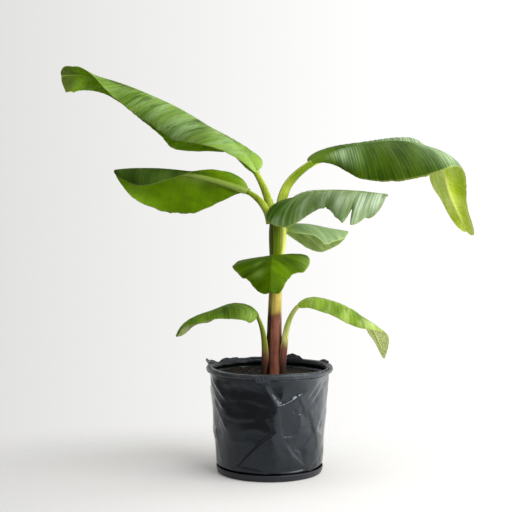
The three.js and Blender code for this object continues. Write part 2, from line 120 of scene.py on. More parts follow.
def mottle(x: Array, y: Array, seed: int) -> Array:
    """Draw smooth noise over a plane, one cell to each unit.

    Args:
        x: Places one way.
        y: Places the other way.
        seed: Seed of the draws.

    Returns:
        Values between -1 and 1.
    """
    values = np.random.default_rng(seed).uniform(-1, 1, (128, 128))
    i = np.floor(x).astype(int)
    j = np.floor(y).astype(int)
    u = ease(x - i)
    v = ease(y - j)
    low = values[i % 128, j % 128] * (1 - u) + values[(i + 1) % 128, j % 128] * u
    high = values[i % 128, (j + 1) % 128] * (1 - u) + values[(i + 1) % 128, (j + 1) % 128] * u
    return low * (1 - v) + high * v


def unit(vectors: Array) -> Array:
    """Return the vectors at length one."""
    return vectors / np.maximum(np.linalg.norm(vectors, axis=-1, keepdims=True), 1e-12)


def bell(x: Array, width: float) -> Array:
    """Return a bell curve, 1 at x = 0."""
    return np.exp(-((x / width) ** 2))


def turns(count: int) -> Array:
    """Return evenly spaced angles of one full turn, in radians."""
    return np.linspace(0, 2 * np.pi, count, endpoint=False)


def degrees_round(count: int) -> Array:
    """Return evenly spaced angles of one full turn from the back, in degrees."""
    return np.linspace(-180, 180, count, endpoint=False)


def round_points(radius: Array, angle: Array, height: Array) -> Array:
    """Return the points at these radii, angles and heights round the upright axis."""
    return np.stack(np.broadcast_arrays(radius * np.cos(angle), radius * np.sin(angle), height), -1)


def numbered(points: Array, first: int = 0) -> Array:
    """Return the numbers of a grid's points, counted from the first."""
    return first + np.arange(points[..., 0].size).reshape(points.shape[:2])


# Meshes.


@dataclass
class Skin:
    """A closed mesh under construction, in millimetres."""

    points: list[Array] = field(default_factory=list)
    quads: list[Array] = field(default_factory=list)
    slots: list[Array] = field(default_factory=list)
    marks: dict[str, list[Array]] = field(default_factory=dict)
    count: int = 0

    def add_points(self, points: Array, **marks: Array) -> int:
        """Add points with their marks.

        Args:
            points: Positions, any shape that ends in 3.
            marks: Values named for each point, for the materials to read.

        Returns:
            The number of the first point.
        """
        flat = np.asarray(points, float).reshape(-1, 3)
        first = self.count
        self.points.append(flat)
        for name, values in marks.items():
            whole = np.broadcast_to(values, np.shape(points)[:-1]).reshape(-1)
            self.marks.setdefault(name, []).append(whole.astype(float))
        self.count += len(flat)
        return first

    def add_quads(self, corners: Array, slot: int = 0) -> None:
        """Add four-cornered faces.

        Args:
            corners: Four point numbers for each face.
            slot: Material slot that the faces share.
        """
        flat = np.asarray(corners, int).reshape(-1, 4)
        self.quads.append(flat)
        self.slots.append(np.full(len(flat), slot))

    def add_leaf_shell(self, over: Array, under: Array, **marks: Array) -> None:
        """Add a thin closed shell between two grids of the same shape.

        Args:
            over: Upper grid, rows by columns by 3.
            under: Lower grid of the same shape.
            marks: Values for each grid point, used on both faces.
        """
        grids = [numbered(grid, self.add_points(grid, **marks)) for grid in (over, under)]
        top, low = grids
        self.add_quads(cells(top, False), 0)
        self.add_quads(cells(low, False)[:, ::-1], 1)
        border, lower = (
            np.concatenate([grid[0], grid[1:, -1], grid[-1, -2::-1], grid[-2:0:-1, 0]]) for grid in grids)
        self.add_quads(np.stack([border, lower, np.roll(lower, -1), np.roll(border, -1)], 1), 0)

    def add_tube(self, rings: Array, slot: int = 0, **marks: Array) -> None:
        """Add a closed tube of rings, with both ends drawn together to their middles.

        Args:
            rings: Rings by points round each ring by 3.
            slot: Material slot of the faces.
            marks: Values for each ring point.
        """
        middle_first = rings[:1].mean(1, keepdims=True)
        middle_last = rings[-1:].mean(1, keepdims=True)
        near = rings[:1] * 0.999 + middle_first * 0.001
        inner_first = np.repeat(middle_first, rings.shape[1], 1) * 0.98 + near * 0.02
        inner_last = np.repeat(middle_last, rings.shape[1], 1) * 0.98 + rings[-1:] * 0.02
        whole = np.concatenate([inner_first, rings, inner_last])
        spread = {name: np.broadcast_to(values, rings.shape[:2]) for name, values in marks.items()}
        ends = {name: np.concatenate([v[:1], v, v[-1:]]) for name, v in spread.items()}
        grid = numbered(whole, self.add_points(whole, **ends))
        self.add_quads(cells(grid, True), slot)
        for ring in (grid[0][::-1], grid[-1]):
            half = len(ring) // 2
            pairs = [(ring[k], ring[k + 1], ring[-k - 2], ring[-k - 1]) for k in range(half - 1)]
            self.add_quads(np.array(pairs), slot)

    def add_ring(self, grid_points: Array, slot: int = 0, **marks: Array) -> None:
        """Add a ring closed both ways round, such as a rolled rim."""
        grid = numbered(grid_points, self.add_points(grid_points, **marks))
        self.add_quads(cells(np.concatenate([grid, grid[:1]]), True), slot)

    def finish(self, name: str, materials: Sequence[Material]) -> Piece:
        """Make the mesh object, in metres, with its faces turned outward.

        Args:
            name: Name of the object and its mesh.
            materials: Materials in the order of the slots.

        Returns:
            The new object, linked to the scene.
        """
        points = np.concatenate(self.points) * MM
        quads = np.concatenate(self.quads)
        a, b, c, d = (points[quads[:, k]] for k in range(4))
        volume = np.einsum("ij,ij->i", np.cross(a, b), c).sum()
        volume += np.einsum("ij,ij->i", np.cross(a, c), d).sum()
        if volume < 0:
            quads = quads[:, ::-1]
        mesh = bpy.data.meshes.new(name)
        mesh.vertices.add(len(points))
        mesh.vertices.foreach_set("co", points.astype(np.float32).ravel())
        mesh.loops.add(quads.size)
        mesh.loops.foreach_set("vertex_index", quads.astype(np.int32).ravel())
        mesh.polygons.add(len(quads))
        mesh.polygons.foreach_set("loop_start", np.arange(0, quads.size, 4, dtype=np.int32))
        mesh.polygons.foreach_set("material_index", np.concatenate(self.slots).astype(np.int32))
        mesh.update(calc_edges=True)
        mesh.shade_smooth()
        for mark, values in self.marks.items():
            layer = mesh.attributes.new(mark, "FLOAT", "POINT")
            layer.data.foreach_set("value", np.concatenate(values).astype(np.float32))
        for material in materials:
            mesh.materials.append(material)
        mesh.validate()
        return linked(name, mesh)


def cells(grid: Array, closed: bool) -> Array:
    """Return the four corners of each cell of a grid of point numbers.

    Args:
        grid: Point numbers, rows by columns.
        closed: True where the last column joins the first.

    Returns:
        Corner numbers, one row of four for each cell.
    """
    whole = np.concatenate([grid, grid[:, :1]], 1) if closed else grid
    corners = [whole[:-1, :-1], whole[:-1, 1:], whole[1:, 1:], whole[1:, :-1]]
    return np.stack(corners, -1).reshape(-1, 4)


def linked(name: str, data: bpy.types.ID) -> Piece:
    """Make an object and link it to the scene.

    Args:
        name: Name of the object.
        data: Its mesh, camera or light.

    Returns:
        The object.
    """
    piece = bpy.data.objects.new(name, data)
    bpy.context.scene.collection.objects.link(piece)
    return piece


def hand_over(piece: Piece, slot: Slot, *nodes: str) -> Piece:
    """Ride a piece on the plant and let it stand for its nodes.

    Args:
        piece: The finished piece.
        slot: Its material slot; not used.
        nodes: The nodes that it stands for.

    Returns:
        The piece.
    """
    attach(piece, BODY)
    if nodes:
        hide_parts(*nodes)
    faces = len(piece.data.polygons)
    LOG.info("%s: %d faces, stands for %s", piece.name, faces, ", ".join(nodes) or "nothing")
    return piece


def tube_piece(name: str, rings: Array, finish: Material, slot: Slot, node: str, **marks: Array) -> Piece:
    """Hand over a piece that is one closed tube.

    Args:
        name: Name of the piece.
        rings: Rings by points round each ring by 3.
        finish: The piece's material.
        slot: The piece's slot.
        node: The node that the piece stands for.
        marks: Values for each ring point.

    Returns:
        The piece.
    """
    skin = Skin()
    skin.add_tube(rings, **marks)
    return hand_over(skin.finish(name, [finish]), slot, node)


# Materials.


def tone(red: int, green: int, blue: int) -> Colour:
    """Return a colour given in display steps from 0 to 255 as linear light."""
    shares = [value / 255 for value in (red, green, blue)]
    return tuple(s / 12.92 if s <= 0.04045 else ((s + 0.055) / 1.055) ** 2.4 for s in shares)


class Nodes:
    """A node tree whose nodes are added one by one."""

    def __init__(self, tree: bpy.types.NodeTree) -> None:
        """Empty the tree and take it up."""
        self.tree = tree
        self.tree.nodes.clear()

    def add(self, kind: str, feeds: Optional[dict[Any, Any]] = None, **settings: Any) -> bpy.types.Node:
        """Add a node.

        Args:
            kind: The node's type name.
            feeds: For input names or numbers, the sockets or plain values that feed them.
            settings: The node's own settings.

        Returns:
            The new node.
        """
        node = self.tree.nodes.new(kind)
        for name, value in settings.items():
            setattr(node, name, value)
        for name, value in (feeds or {}).items():
            if isinstance(value, Socket):
                self.tree.links.new(value, node.inputs[name])
            elif node.inputs[name].type == "RGBA":
                node.inputs[name].default_value = (*value, 1.0)
            else:
                node.inputs[name].default_value = value
        return node

    def sum_of(self, a: Any, b: Any) -> Socket:
        """Return the sum of two values."""
        return self.add("ShaderNodeMath", {0: a, 1: b}).outputs[0]

    def times(self, a: Any, b: Any) -> Socket:
        """Return the product of two values."""
        return self.add("ShaderNodeMath", {0: a, 1: b}, operation="MULTIPLY").outputs[0]

    def mixed(self, share: Any, a: Any, b: Any) -> Socket:
        """Return value a turned into value b by a share."""
        return self.add("ShaderNodeMix", {0: share, 2: a, 3: b}, data_type="FLOAT").outputs[0]

    def span(self, value: Any, low: float, high: float, to_low: float = 0.0, to_high: float = 1.0,
             kind: str = "SMOOTHSTEP") -> Socket:
        """Return a value moved from one range to another and held there."""
        feeds = {"Value": value, "From Min": low, "From Max": high, "To Min": to_low, "To Max": to_high}
        return self.add("ShaderNodeMapRange", feeds, interpolation_type=kind).outputs["Result"]


class Mixture(Nodes):
    """A material under construction."""

    def __init__(self, name: str) -> None:
        """Start an empty material.

        Args:
            name: Name of the material.
        """
        self.material = bpy.data.materials.new(name)
        self.material.use_nodes = True
        super().__init__(self.material.node_tree)
        self.coordinates = self.add("ShaderNodeTexCoord").outputs["Object"]

    def placed(self, **shift: Triple) -> Socket:
        """Return the object's coordinates moved, turned or scaled."""
        return self.add("ShaderNodeMapping", {"Vector": self.coordinates, **shift}).outputs[0]

    def mark(self, name: str) -> Socket:
        """Return a value that the mesh carries at its points."""
        return self.add("ShaderNodeAttribute", attribute_name=name).outputs["Fac"]

    def noise(self, scale: float, detail: float = 2.0, where: Any = None) -> Socket:
        """Return noise with so many cells to each unit of its place, which is a metre if not given."""
        feeds = {"Vector": where or self.coordinates, "Scale": scale, "Detail": detail}
        return self.add("ShaderNodeTexNoise", feeds).outputs["Fac"]

    def strand_noise(self, along: Any, scale: float, detail: float = 2.0) -> Socket:
        """Return noise that changes only along one value."""
        feeds = {"W": along, "Scale": scale, "Detail": detail}
        return self.add("ShaderNodeTexNoise", feeds, noise_dimensions="1D").outputs["Fac"]

    def pair(self, x: Any, y: Any) -> Socket:
        """Return a place made of two values."""
        return self.add("ShaderNodeCombineXYZ", {0: x, 1: y}).outputs[0]

    def held(self, value: Any) -> Socket:
        """Return a value held between 0 and 1."""
        return self.add("ShaderNodeMath", {0: value, 1: 0.0}, use_clamp=True).outputs[0]

    def blend(self, share: Any, a: Any, b: Any) -> Socket:
        """Return colour a turned into colour b by a share."""
        return self.add("ShaderNodeMix", {0: share, 6: a, 7: b}, data_type="RGBA").outputs[2]

    def relief(self, height: Any, strength: float, distance: float, under: Any = None) -> Socket:
        """Roughen normals by a height.

        Args:
            height: The height.
            strength: Share of the roughening.
            distance: Depth in metres of a height of 1.
            under: Normals to start from, if not the mesh's own.

        Returns:
            The normals.
        """
        feeds = {"Height": height, "Strength": strength, "Distance": distance}
        if under is not None:
            feeds["Normal"] = under
        return self.add("ShaderNodeBump", feeds).outputs["Normal"]

    def surface(self, colour: Any, rough: Any, normal: Any, gloss: float, **more: Any) -> Socket:
        """Add a surface shader.

        Args:
            colour: Base colour.
            rough: Roughness.
            normal: Normals.
            gloss: Strength of the reflections.
            more: Other inputs, named with an underscore for each space.

        Returns:
            The shader.
        """
        feeds = {"Base Color": colour, "Roughness": rough, "Normal": normal, "Specular IOR Level": gloss}
        feeds.update({name.replace("_", " "): value for name, value in more.items()})
        return self.add("ShaderNodeBsdfPrincipled", feeds).outputs[0]

    def joined(self, share: Any, a: Socket, b: Socket) -> Socket:
        """Return shader a turned into shader b by a share."""
        return self.add("ShaderNodeMixShader", {0: share, 1: a, 2: b}).outputs[0]

    def done(self, shader: Socket) -> Material:
        """Set the surface and return the material."""
        self.add("ShaderNodeOutputMaterial", {"Surface": shader})
        return self.material


@dataclass(frozen=True)
class BladeFinish:
    """Looks of one leaf's blade."""

    upper: Colour
    upper_light: Colour
    under: Colour
    under_light: Colour
    rib: Colour = tone(146, 172, 70)
    margin: Colour = tone(170, 182, 88)
    bloom_and_painted_sheen: Colour = tone(160, 188, 142)
    deep: Colour = tone(40, 58, 14)
    fleck: Colour = tone(54, 76, 44)
    heel: Colour = tone(170, 198, 100)
    tip: Colour = tone(150, 186, 52)
    tip_from: float = 2.0
    bloom: float = 0.3
    flecks: float = 0.2
    glow: tuple[float, float] = (0.26, 0.32)
    ribbed: tuple[float, float] = (0.3, 0.9)
    lit: Colour = tone(176, 224, 30)
    shine: float = 0.42
    sheen: float = 0.15
    coat: float = 0.04
    veined: float = 0.35
    edging: float = 0.5
    spacing: float = 6.5
    lined: float = 0.25

    # Cells of noise to each millimetre along the blade.
    PLEATS: ClassVar[float] = 0.075
    VEINS: ClassVar[float] = 0.22
    SHIFTS: ClassVar[float] = 0.05
    PATCHES: ClassVar[float] = 0.03
    CLOUDS: ClassVar[float] = 0.045
    MARKS: ClassVar[float] = 0.07
    RIDGES: ClassVar[float] = 0.26

    def face(self, name: str, underside: bool) -> Material:
        """Make the material of one face of the blade.

        Args:
            name: Name of the material.
            underside: True for the lower face.

        Returns:
            The material.
        """
        mix = Mixture(name)
        place = mix.mark("along")
        vein = mix.mark("vein")
        across = mix.mark("across")
        grain = mix.pair(vein, mix.times(across, 0.05))
        loose = mix.pair(vein, mix.times(across, 0.35))
        if underside:
            loose = mix.pair(mix.times(vein, 0.6), mix.times(across, 1.2))
        pleats = mix.noise(self.PLEATS, 2.0, grain)
        veins = mix.noise(self.VEINS, 2.0, grain)
        shift = mix.times(mix.noise(self.SHIFTS, 2.0, grain), 9.0)
        waves = mix.sum_of(mix.times(vein, math.tau / self.spacing), shift)
        lines = mix.span(mix.add("ShaderNodeMath", {0: waves}, operation="SINE").outputs[0], -0.4, 1.0)
        broad = mix.times(mix.span(pleats, 0.38, 0.62), 0.62 - self.lined)
        streak = mix.sum_of(broad, mix.times(mix.span(veins, 0.36, 0.64), 0.38))
        streak = mix.sum_of(streak, mix.times(lines, self.lined))
        dark = self.under if underside else self.upper
        light = self.under_light if underside else self.upper_light
        patches = mix.span(mix.noise(self.PATCHES, 2.0, loose), 0.38, 0.62)
        fine = 0.35 if underside else 0.6
        share = mix.sum_of(mix.times(streak, fine), mix.times(patches, 1 - fine))
        colour = mix.blend(share, dark, light)
        # The pale colour is partly the leaf's bloom and partly painted sheen: the cloud noise lays random
        # bloom, and the pale patches lay painted sheen and highlights.
        cloud = mix.span(mix.noise(self.CLOUDS, 2.0, loose), 0.5, 0.62)
        bloom = mix.times(cloud, self.bloom * (0.4 if underside else 1.0))
        patch_bloom_and_sheen = mix.times(mix.mark("pale"), mix.span(streak, 0.0, 1.0, 0.35, 1.25))
        colour = mix.blend(mix.held(mix.sum_of(bloom, patch_bloom_and_sheen)), colour, self.bloom_and_painted_sheen)
        sunk = mix.times(mix.mark("deep"), mix.span(streak, 0.0, 1.0, 1.2, 0.5))
        colour = mix.blend(mix.held(sunk), colour, self.deep)
        marks = mix.span(mix.noise(self.MARKS, 1.0, loose), 0.6, 0.7)
        colour = mix.blend(mix.times(marks, self.flecks), colour, self.fleck)
        colour = mix.blend(mix.span(place, 0.01, 0.13, 0.65, 0.0), colour, self.heel)
        # The tip colour is browning on the upper left leaf and a painted glow of light shining through on
        # the lower right leaf.
        colour = mix.blend(mix.span(place, self.tip_from, self.tip_from + 0.08, 0.0, 0.75), colour, self.tip)
        ribbed = mix.times(mix.mark("rib"), self.ribbed[underside])
        colour = mix.blend(ribbed, colour, self.rib)
        colour = mix.blend(mix.times(mix.mark("margin"), self.edging), colour, self.margin)
        ridges = mix.sum_of(pleats, mix.times(mix.noise(self.RIDGES, 0.0, grain), 0.35))
        normal = mix.relief(ridges, self.veined, 0.001)
        rough = mix.span(pleats, 0.35, 0.65, self.shine + 0.12, self.shine)
        base = mix.surface(colour, rough, normal, 0.1 if underside else self.sheen,
                           Coat_Weight=0.0 if underside else self.coat, Coat_Roughness=0.3)
        through_light = mix.blend(share, tuple(0.6 * c for c in self.lit), self.lit)
        through_light = mix.blend(ribbed, through_light, tuple(0.85 * c for c in self.lit))
        glow = mix.add("ShaderNodeBsdfTranslucent", {"Color": through_light, "Normal": normal})
        return mix.done(mix.joined(self.glow[underside], base, glow.outputs[0]))

    def build(self, name: str) -> list[Material]:
        """Make the upper and lower face's materials."""
        return [self.face(f"{name}_upper_face", False), self.face(f"{name}_underside", True)]


@dataclass(frozen=True)
class SheathFinish:
    """Looks of the stalks and the false stem: fibrous, waxy, brown at the foot, fresher above."""

    name: str
    body: Colour
    light: Colour
    fresh: Colour = tone(100, 124, 0)
    foot: Colour = tone(88, 44, 34)
    foot_light: Colour = tone(122, 75, 58)
    shadow: Colour = tone(16, 12, 6)
    edge: Colour = tone(200, 210, 100)
    shine: float = 0.4

    def build(self) -> Material:
        """Make the material, which reads the marks foot, fresh, shade, edge and fibre.

        Returns:
            The material.
        """
        mix = Mixture(self.name)
        fibres = mix.times(mix.strand_noise(mix.mark("fibre"), 2.2, 3.0), 0.4)
        streak = mix.noise(1.0, 3.0, mix.placed(Scale=(300.0, 300.0, 18.0)))
        cloud = mix.noise(26.0, 3.0)
        strands = mix.sum_of(fibres, streak)
        share = mix.span(mix.sum_of(strands, cloud), 0.85, 1.4)
        green = mix.blend(share, self.body, self.light)
        green = mix.blend(mix.mark("fresh"), green, self.fresh)
        brown = mix.blend(share, self.foot, self.foot_light)
        rough_edge = mix.times(mix.sum_of(streak, -0.5), 1.1)
        foot = mix.span(mix.sum_of(mix.mark("foot"), rough_edge), 0.15, 0.85)
        colour = mix.blend(foot, green, brown)
        # The edge mark lays pale sheath margins and stalk lips, and on the stem also a painted highlight.
        colour = mix.blend(mix.mark("edge"), colour, self.edge)
        # Painted shade where the shade mark lies.
        colour = mix.blend(mix.mark("shade"), colour, self.shadow)
        # Dark spots of the skin, in the same colour as the painted shade.
        spots = mix.span(mix.noise(240.0, 2.0), 0.66, 0.74)
        colour = mix.blend(mix.times(spots, 0.3), colour, self.shadow)
        normal = mix.relief(strands, 0.4, 0.0006)
        rough = mix.span(cloud, 0.3, 0.7, self.shine + 0.14, self.shine)
        return mix.done(mix.surface(colour, rough, normal, 0.15, Subsurface_Weight=0.1,
                                    Subsurface_Scale=0.004))


@dataclass(frozen=True)
class FilmFinish:
    """Looks of black nursery film: glossy, creased, dusty in places."""

    name: str
    colour: Colour = tone(9, 9, 11)
    dust: Colour = tone(62, 64, 68)
    dusty: float = 0.05
    shine: float = 0.11
    wrinkle: float = 0.13
    sheen: Colour = (0.78, 0.89, 1.0)
    unlit: Colour = tone(5, 5, 6)

    def build(self) -> Material:
        """Make the film's material, which is darkest where the mark inside is 1.

        Returns:
            The material.
        """
        mix = Mixture(self.name)
        smear = mix.noise(18.0, 4.0)
        grime = mix.span(mix.noise(60.0, 5.0), 0.5, 0.75)
        colour = mix.blend(mix.times(grime, self.dusty), self.colour, self.dust)
        # Painted shade: where the mark inside is 1, on the rim's inner face, the film is painted near black.
        colour = mix.blend(mix.mark("inside"), colour, self.unlit)
        slack = mix.noise(1.0, 3.0, mix.placed(Rotation=(0.1, 0.25, 0.0), Scale=(15.0, 15.0, 38.0)))
        normal = mix.relief(slack, self.wrinkle, 0.006)
        normal = mix.relief(mix.noise(420.0, 2.0), 0.05, 0.0006, normal)
        rough = mix.span(smear, 0.3, 0.7, self.shine, self.shine + 0.14)
        return mix.done(mix.surface(colour, rough, normal, 0.5, Specular_Tint=self.sheen))


@dataclass(frozen=True)
class SaucerFinish:
    """Looks of a moulded dark saucer: satin, scuffed along its rim."""

    name: str = "saucer_moulded_plastic"
    colour: Colour = tone(22, 25, 31)
    scuff: Colour = tone(62, 64, 70)

    def build(self) -> Material:
        """Make the saucer's material.

        Returns:
            The material.
        """
        mix = Mixture(self.name)
        worn = mix.span(mix.noise(1.0, 5.0, mix.placed(Scale=(60.0, 60.0, 500.0))), 0.58, 0.74)
        colour = mix.blend(mix.times(worn, 0.35), self.colour, self.scuff)
        normal = mix.relief(mix.noise(1500.0, 2.0), 0.12, 0.0003)
        rough = mix.span(worn, 0.0, 1.0, 0.42, 0.6)
        return mix.done(mix.surface(colour, rough, normal, 0.4))


@dataclass(frozen=True)
class CompostFinish:
    """Looks of damp peat compost."""

    name: str
    dark: Colour = tone(12, 10, 9)
    light: Colour = tone(38, 31, 25)

    def build(self) -> Material:
        """Make the compost's material.

        Returns:
            The material.
        """
        mix = Mixture(self.name)
        grains = mix.noise(330.0, 6.0)
        lumps = mix.noise(90.0, 3.0)
        share = mix.span(mix.sum_of(grains, lumps), 0.85, 1.3)
        colour = mix.blend(share, self.dark, self.light)
        normal = mix.relief(grains, 0.8, 0.002)
        return mix.done(mix.surface(colour, mix.span(lumps, 0.2, 0.8, 0.75, 0.98), normal, 0.25))


# Leaves.


@dataclass
class Line:
    """A centre line that sets out from a point and turns by its stations, in mm and degrees."""

    start: Sequence[float]
    length: float
    pitch: Sequence[float]
    heading: Sequence[float]
    roll: Sequence[float] = (0.0,)

    STEPS: ClassVar[int] = 960

    def __post_init__(self) -> None:
        """Add up the steps along the line."""
        t = np.linspace(0, 1, self.STEPS + 1)
        ways = self.direction(t)
        moves = (ways[1:] + ways[:-1]) * self.length / self.STEPS / 2
        self.points = np.vstack([self.start, np.asarray(self.start) + np.cumsum(moves, 0)])

    def direction(self, t: Array) -> Array:
        """Work out the line's direction.

        Args:
            t: Places along the line.

        Returns:
            Directions of length one.
        """
        pitch = np.radians(through(self.pitch, t))
        heading = np.radians(through(self.heading, t))
        level = np.cos(pitch)
        return np.stack([level * np.cos(heading), level * np.sin(heading), np.sin(pitch)], -1)

    def frame(self, t: Array) -> tuple[Array, Array, Array, Array]:
        """Read the line's place and directions.

        Args:
            t: Places along the line; below 0 it runs straight back.

        Returns:
            Position, tangent, right-hand side and upper normal.
        """
        x = np.clip(t, 0, 1) * self.STEPS
        steps = np.arange(self.STEPS + 1)
        position = np.stack([np.interp(x, steps, self.points[:, k]) for k in range(3)], -1)
        tangent = self.direction(t)
        position = position + tangent * (np.minimum(t, 0) * self.length)[:, None]
        heading = np.radians(through(self.heading, t))
        level = np.stack([np.sin(heading), -np.cos(heading), np.zeros_like(heading)], -1)
        upper = np.cross(level, tangent)
        roll = np.radians(through(self.roll, t))[:, None]
        side = level * np.cos(roll) + upper * np.sin(roll)
        normal = upper * np.cos(roll) - level * np.sin(roll)
        return position, tangent, side, normal


@dataclass(frozen=True)
class Half:
    """One half of a blade: its angle at the rib and at the margin, and its width by stations."""

    rib: Sequence[float]
    edge: Sequence[float]
    width: Sequence[float] = (1.0,)


@dataclass(frozen=True)
class Tear:
    """A tear in a blade's margin: its half, its place along, its depth and its opening."""

    hand: int
    place: float
    depth: float
    opening: float


# Pale patches are partly bloom and partly painted sheen and highlights.
@dataclass(frozen=True)
class Patch:
    """A pale or dark patch of a blade.

    It lies on one half, or on both where hand is 0, round a place along and a share across, and a
    strength below 0 makes it dark.
    """

    hand: int
    place: float
    reach: float
    share: float
    spread: float
    strength: float


@dataclass
class Leaf:
    """A leaf: a grooved stalk and a thin veined blade, worked out by the same rule as the frame's."""

    name: str
    start: Sequence[float]
    stalk_length: float
    rise: Sequence[float]
    turn: Sequence[float]
    stalk_radii: Sequence[float]
    length: float
    width: float
    pitch: Sequence[float]
    heading: Sequence[float]
    left: Half
    right: Half
    finish: BladeFinish
    roll: Sequence[float] = (0.0,)
    sweep: Sequence[float] = (-20.0, 10.0, 25.0, 40.0)
    ripple: float = 4.0
    pleat: float = 0.4
    buckle: float = 1.1
    tears: Sequence[Tear] = ()
    patches: Sequence[Patch] = ()
    lean: float = 0.0
    margin_width: float = 1.3
    fresh: float = 0.6
    clasp: float = 0.0
    brown_to: float = 0.0
    tip_node: bool = False
    seed: int = 1

    WIDEST: ClassVar[float] = 0.42
    PROFILE_POWER: ClassVar[float] = 2.6
    RIPPLES: ClassVar[int] = 3
    ROOT: ClassVar[float] = -0.012
    EVEN_FROM: ClassVar[float] = 0.02
    TIP: ClassVar[float] = 0.9925
    TIP_REACH: ClassVar[float] = 0.012
    ROW_PITCH: ClassVar[float] = 1.7
    RIB_COLUMNS: ClassVar[int] = 6
    BLADE_COLUMNS: ClassVar[int] = 22
    THICKNESS: ClassVar[float] = 0.9
    STALK_SIDES: ClassVar[int] = 48
    LIP: ClassVar[float] = 50.0
    BROWN_FADE: ClassVar[float] = 56.0
    SHADED_TO: ClassVar[float] = 292.0

    def __post_init__(self) -> None:
        """Set out the stalk's line and, from its end, the blade's."""
        self.stalk_line = Line(self.start, self.stalk_length, self.rise, self.turn)
        self.blade_line = Line(self.stalk_line.points[-1], self.length, self.pitch, self.heading, self.roll)
        last = self.stalk_radii[-1]
        self.keel = (last, last * 0.7, last * 0.45, 1.6)

    def width_share(self, t: Array) -> Array:
        """Work out the share of the full half width: none at both ends, one at the widest.

        Args:
            t: Places along the blade.

        Returns:
            The shares.
        """
        place = t / self.TIP
        reach = np.where(place < self.WIDEST, self.WIDEST, 1 - self.WIDEST)
        away = np.abs((place - self.WIDEST) / reach)
        return np.sqrt(np.clip(1 - away**self.PROFILE_POWER, 0, 1))

    def rows(self) -> Array:
        """Set out the blade's rows, closer together at both ends.

        Returns:
            Places along the blade.
        """
        count = int(self.length / self.ROW_PITCH)
        near = np.linspace(self.ROOT, self.EVEN_FROM, 14)[:-1]
        middle = np.linspace(self.EVEN_FROM, self.TIP - self.TIP_REACH, count)
        close = self.TIP - self.TIP_REACH * (1 - np.linspace(0, 1, 16)[1:]) ** 2
        return np.concatenate([near, middle, close])

    def half_grid(self, hand: int, t: Array) -> tuple[Array, Array, Array]:
        """Work out one half of the blade.

        Args:
            hand: -1 for the left half, 1 for the right.
            t: Places of the rows.

        Returns:
            Points from rib to margin, distance from the rib and share across.
        """
        position, tangent, side, normal = self.blade_line.frame(t)
        half = self.left if hand < 0 else self.right
        rib_radius = through(self.keel, t)
        share = self.width_share(np.maximum(t, 0))
        width = self.width * share * through(half.width, t)
        seed = self.seed * 10 + hand
        along = t * self.length
        width = width * (1 + 0.012 * wander(along / 9, seed) + 0.006 * wander(along / 3.5, seed + 3))
        for tear in self.tears:
            if tear.hand == hand:
                near = np.clip(1 - np.abs(t - tear.place) / tear.opening, 0, 1)
                width = width * (1 - tear.depth * near**1.4)
        width = np.maximum(width, rib_radius * 0.95 * ease((self.TIP - t) / 0.03) + 0.15)
        inner = np.minimum(1.25 * rib_radius, 0.7 * width)[:, None]
        near_rib = inner * np.linspace(0, 1, self.RIB_COLUMNS + 1)[None]
        beyond = np.linspace(0, 1, self.BLADE_COLUMNS + 1)[1:][None]
        across = np.concatenate([near_rib, inner + (width[:, None] - inner) * beyond], 1)
        s = across / width[:, None]
        at_rib = np.radians(through(half.rib, t))[:, None]
        turned = np.radians(through(half.edge, t))[:, None] - at_rib
        middle = at_rib + turned * s / 2
        chord = across * np.sinc(turned * s / 2 / np.pi)
        swept = np.radians(through(self.sweep, t))[:, None]
        outward = side * hand * np.cos(swept) + tangent * np.sin(swept)
        lift = self.ripple * s**2 * np.sin(2 * np.pi * self.RIPPLES * t + hand)[:, None] * share[:, None]
        lift = lift + self.relief(along, s, share, hand)
        points = position[:, None] + outward[:, None] * (chord * np.cos(middle))[..., None]
        points = points + normal[:, None] * (chord * np.sin(middle) + lift)[..., None]
        return points, across, s

    def relief(self, along: Array, s: Array, share: Array, hand: int) -> Array:
        """Work out the blade's pleats and buckles, which run with its veins.

        Args:
            along: Distances along the blade.
            s: Shares across the half.
            share: Shares of the full width.
            hand: -1 for the left half, 1 for the right.

        Returns:
            Heights over the smooth blade.
        """
        seed = self.seed * 20 + 7 * hand
        spread = np.sin(np.pi * np.clip(s * 0.93 + 0.03, 0, 1)) ** 0.6
        wide = np.sin(2 * np.pi * (along / 15 + 0.5 * wander(along / 37, seed)))
        narrow = np.sin(2 * np.pi * (along / 6.3 + 0.7 * wander(along / 29, seed + 1)))
        patch = 0.55 + 0.45 * mottle(along[:, None] / 55, s * 2.3, seed + 2)
        pleats = self.pleat * (wide + 0.4 * narrow)[:, None] * spread * patch
        buckles = self.buckle * s**1.5 * wander(along / 21, seed + 4)[:, None]
        cockles = 0.45 * self.buckle * s * mottle(along[:, None] / 12, s * 5, seed + 5)
        return (pleats + buckles + cockles) * share[:, None]

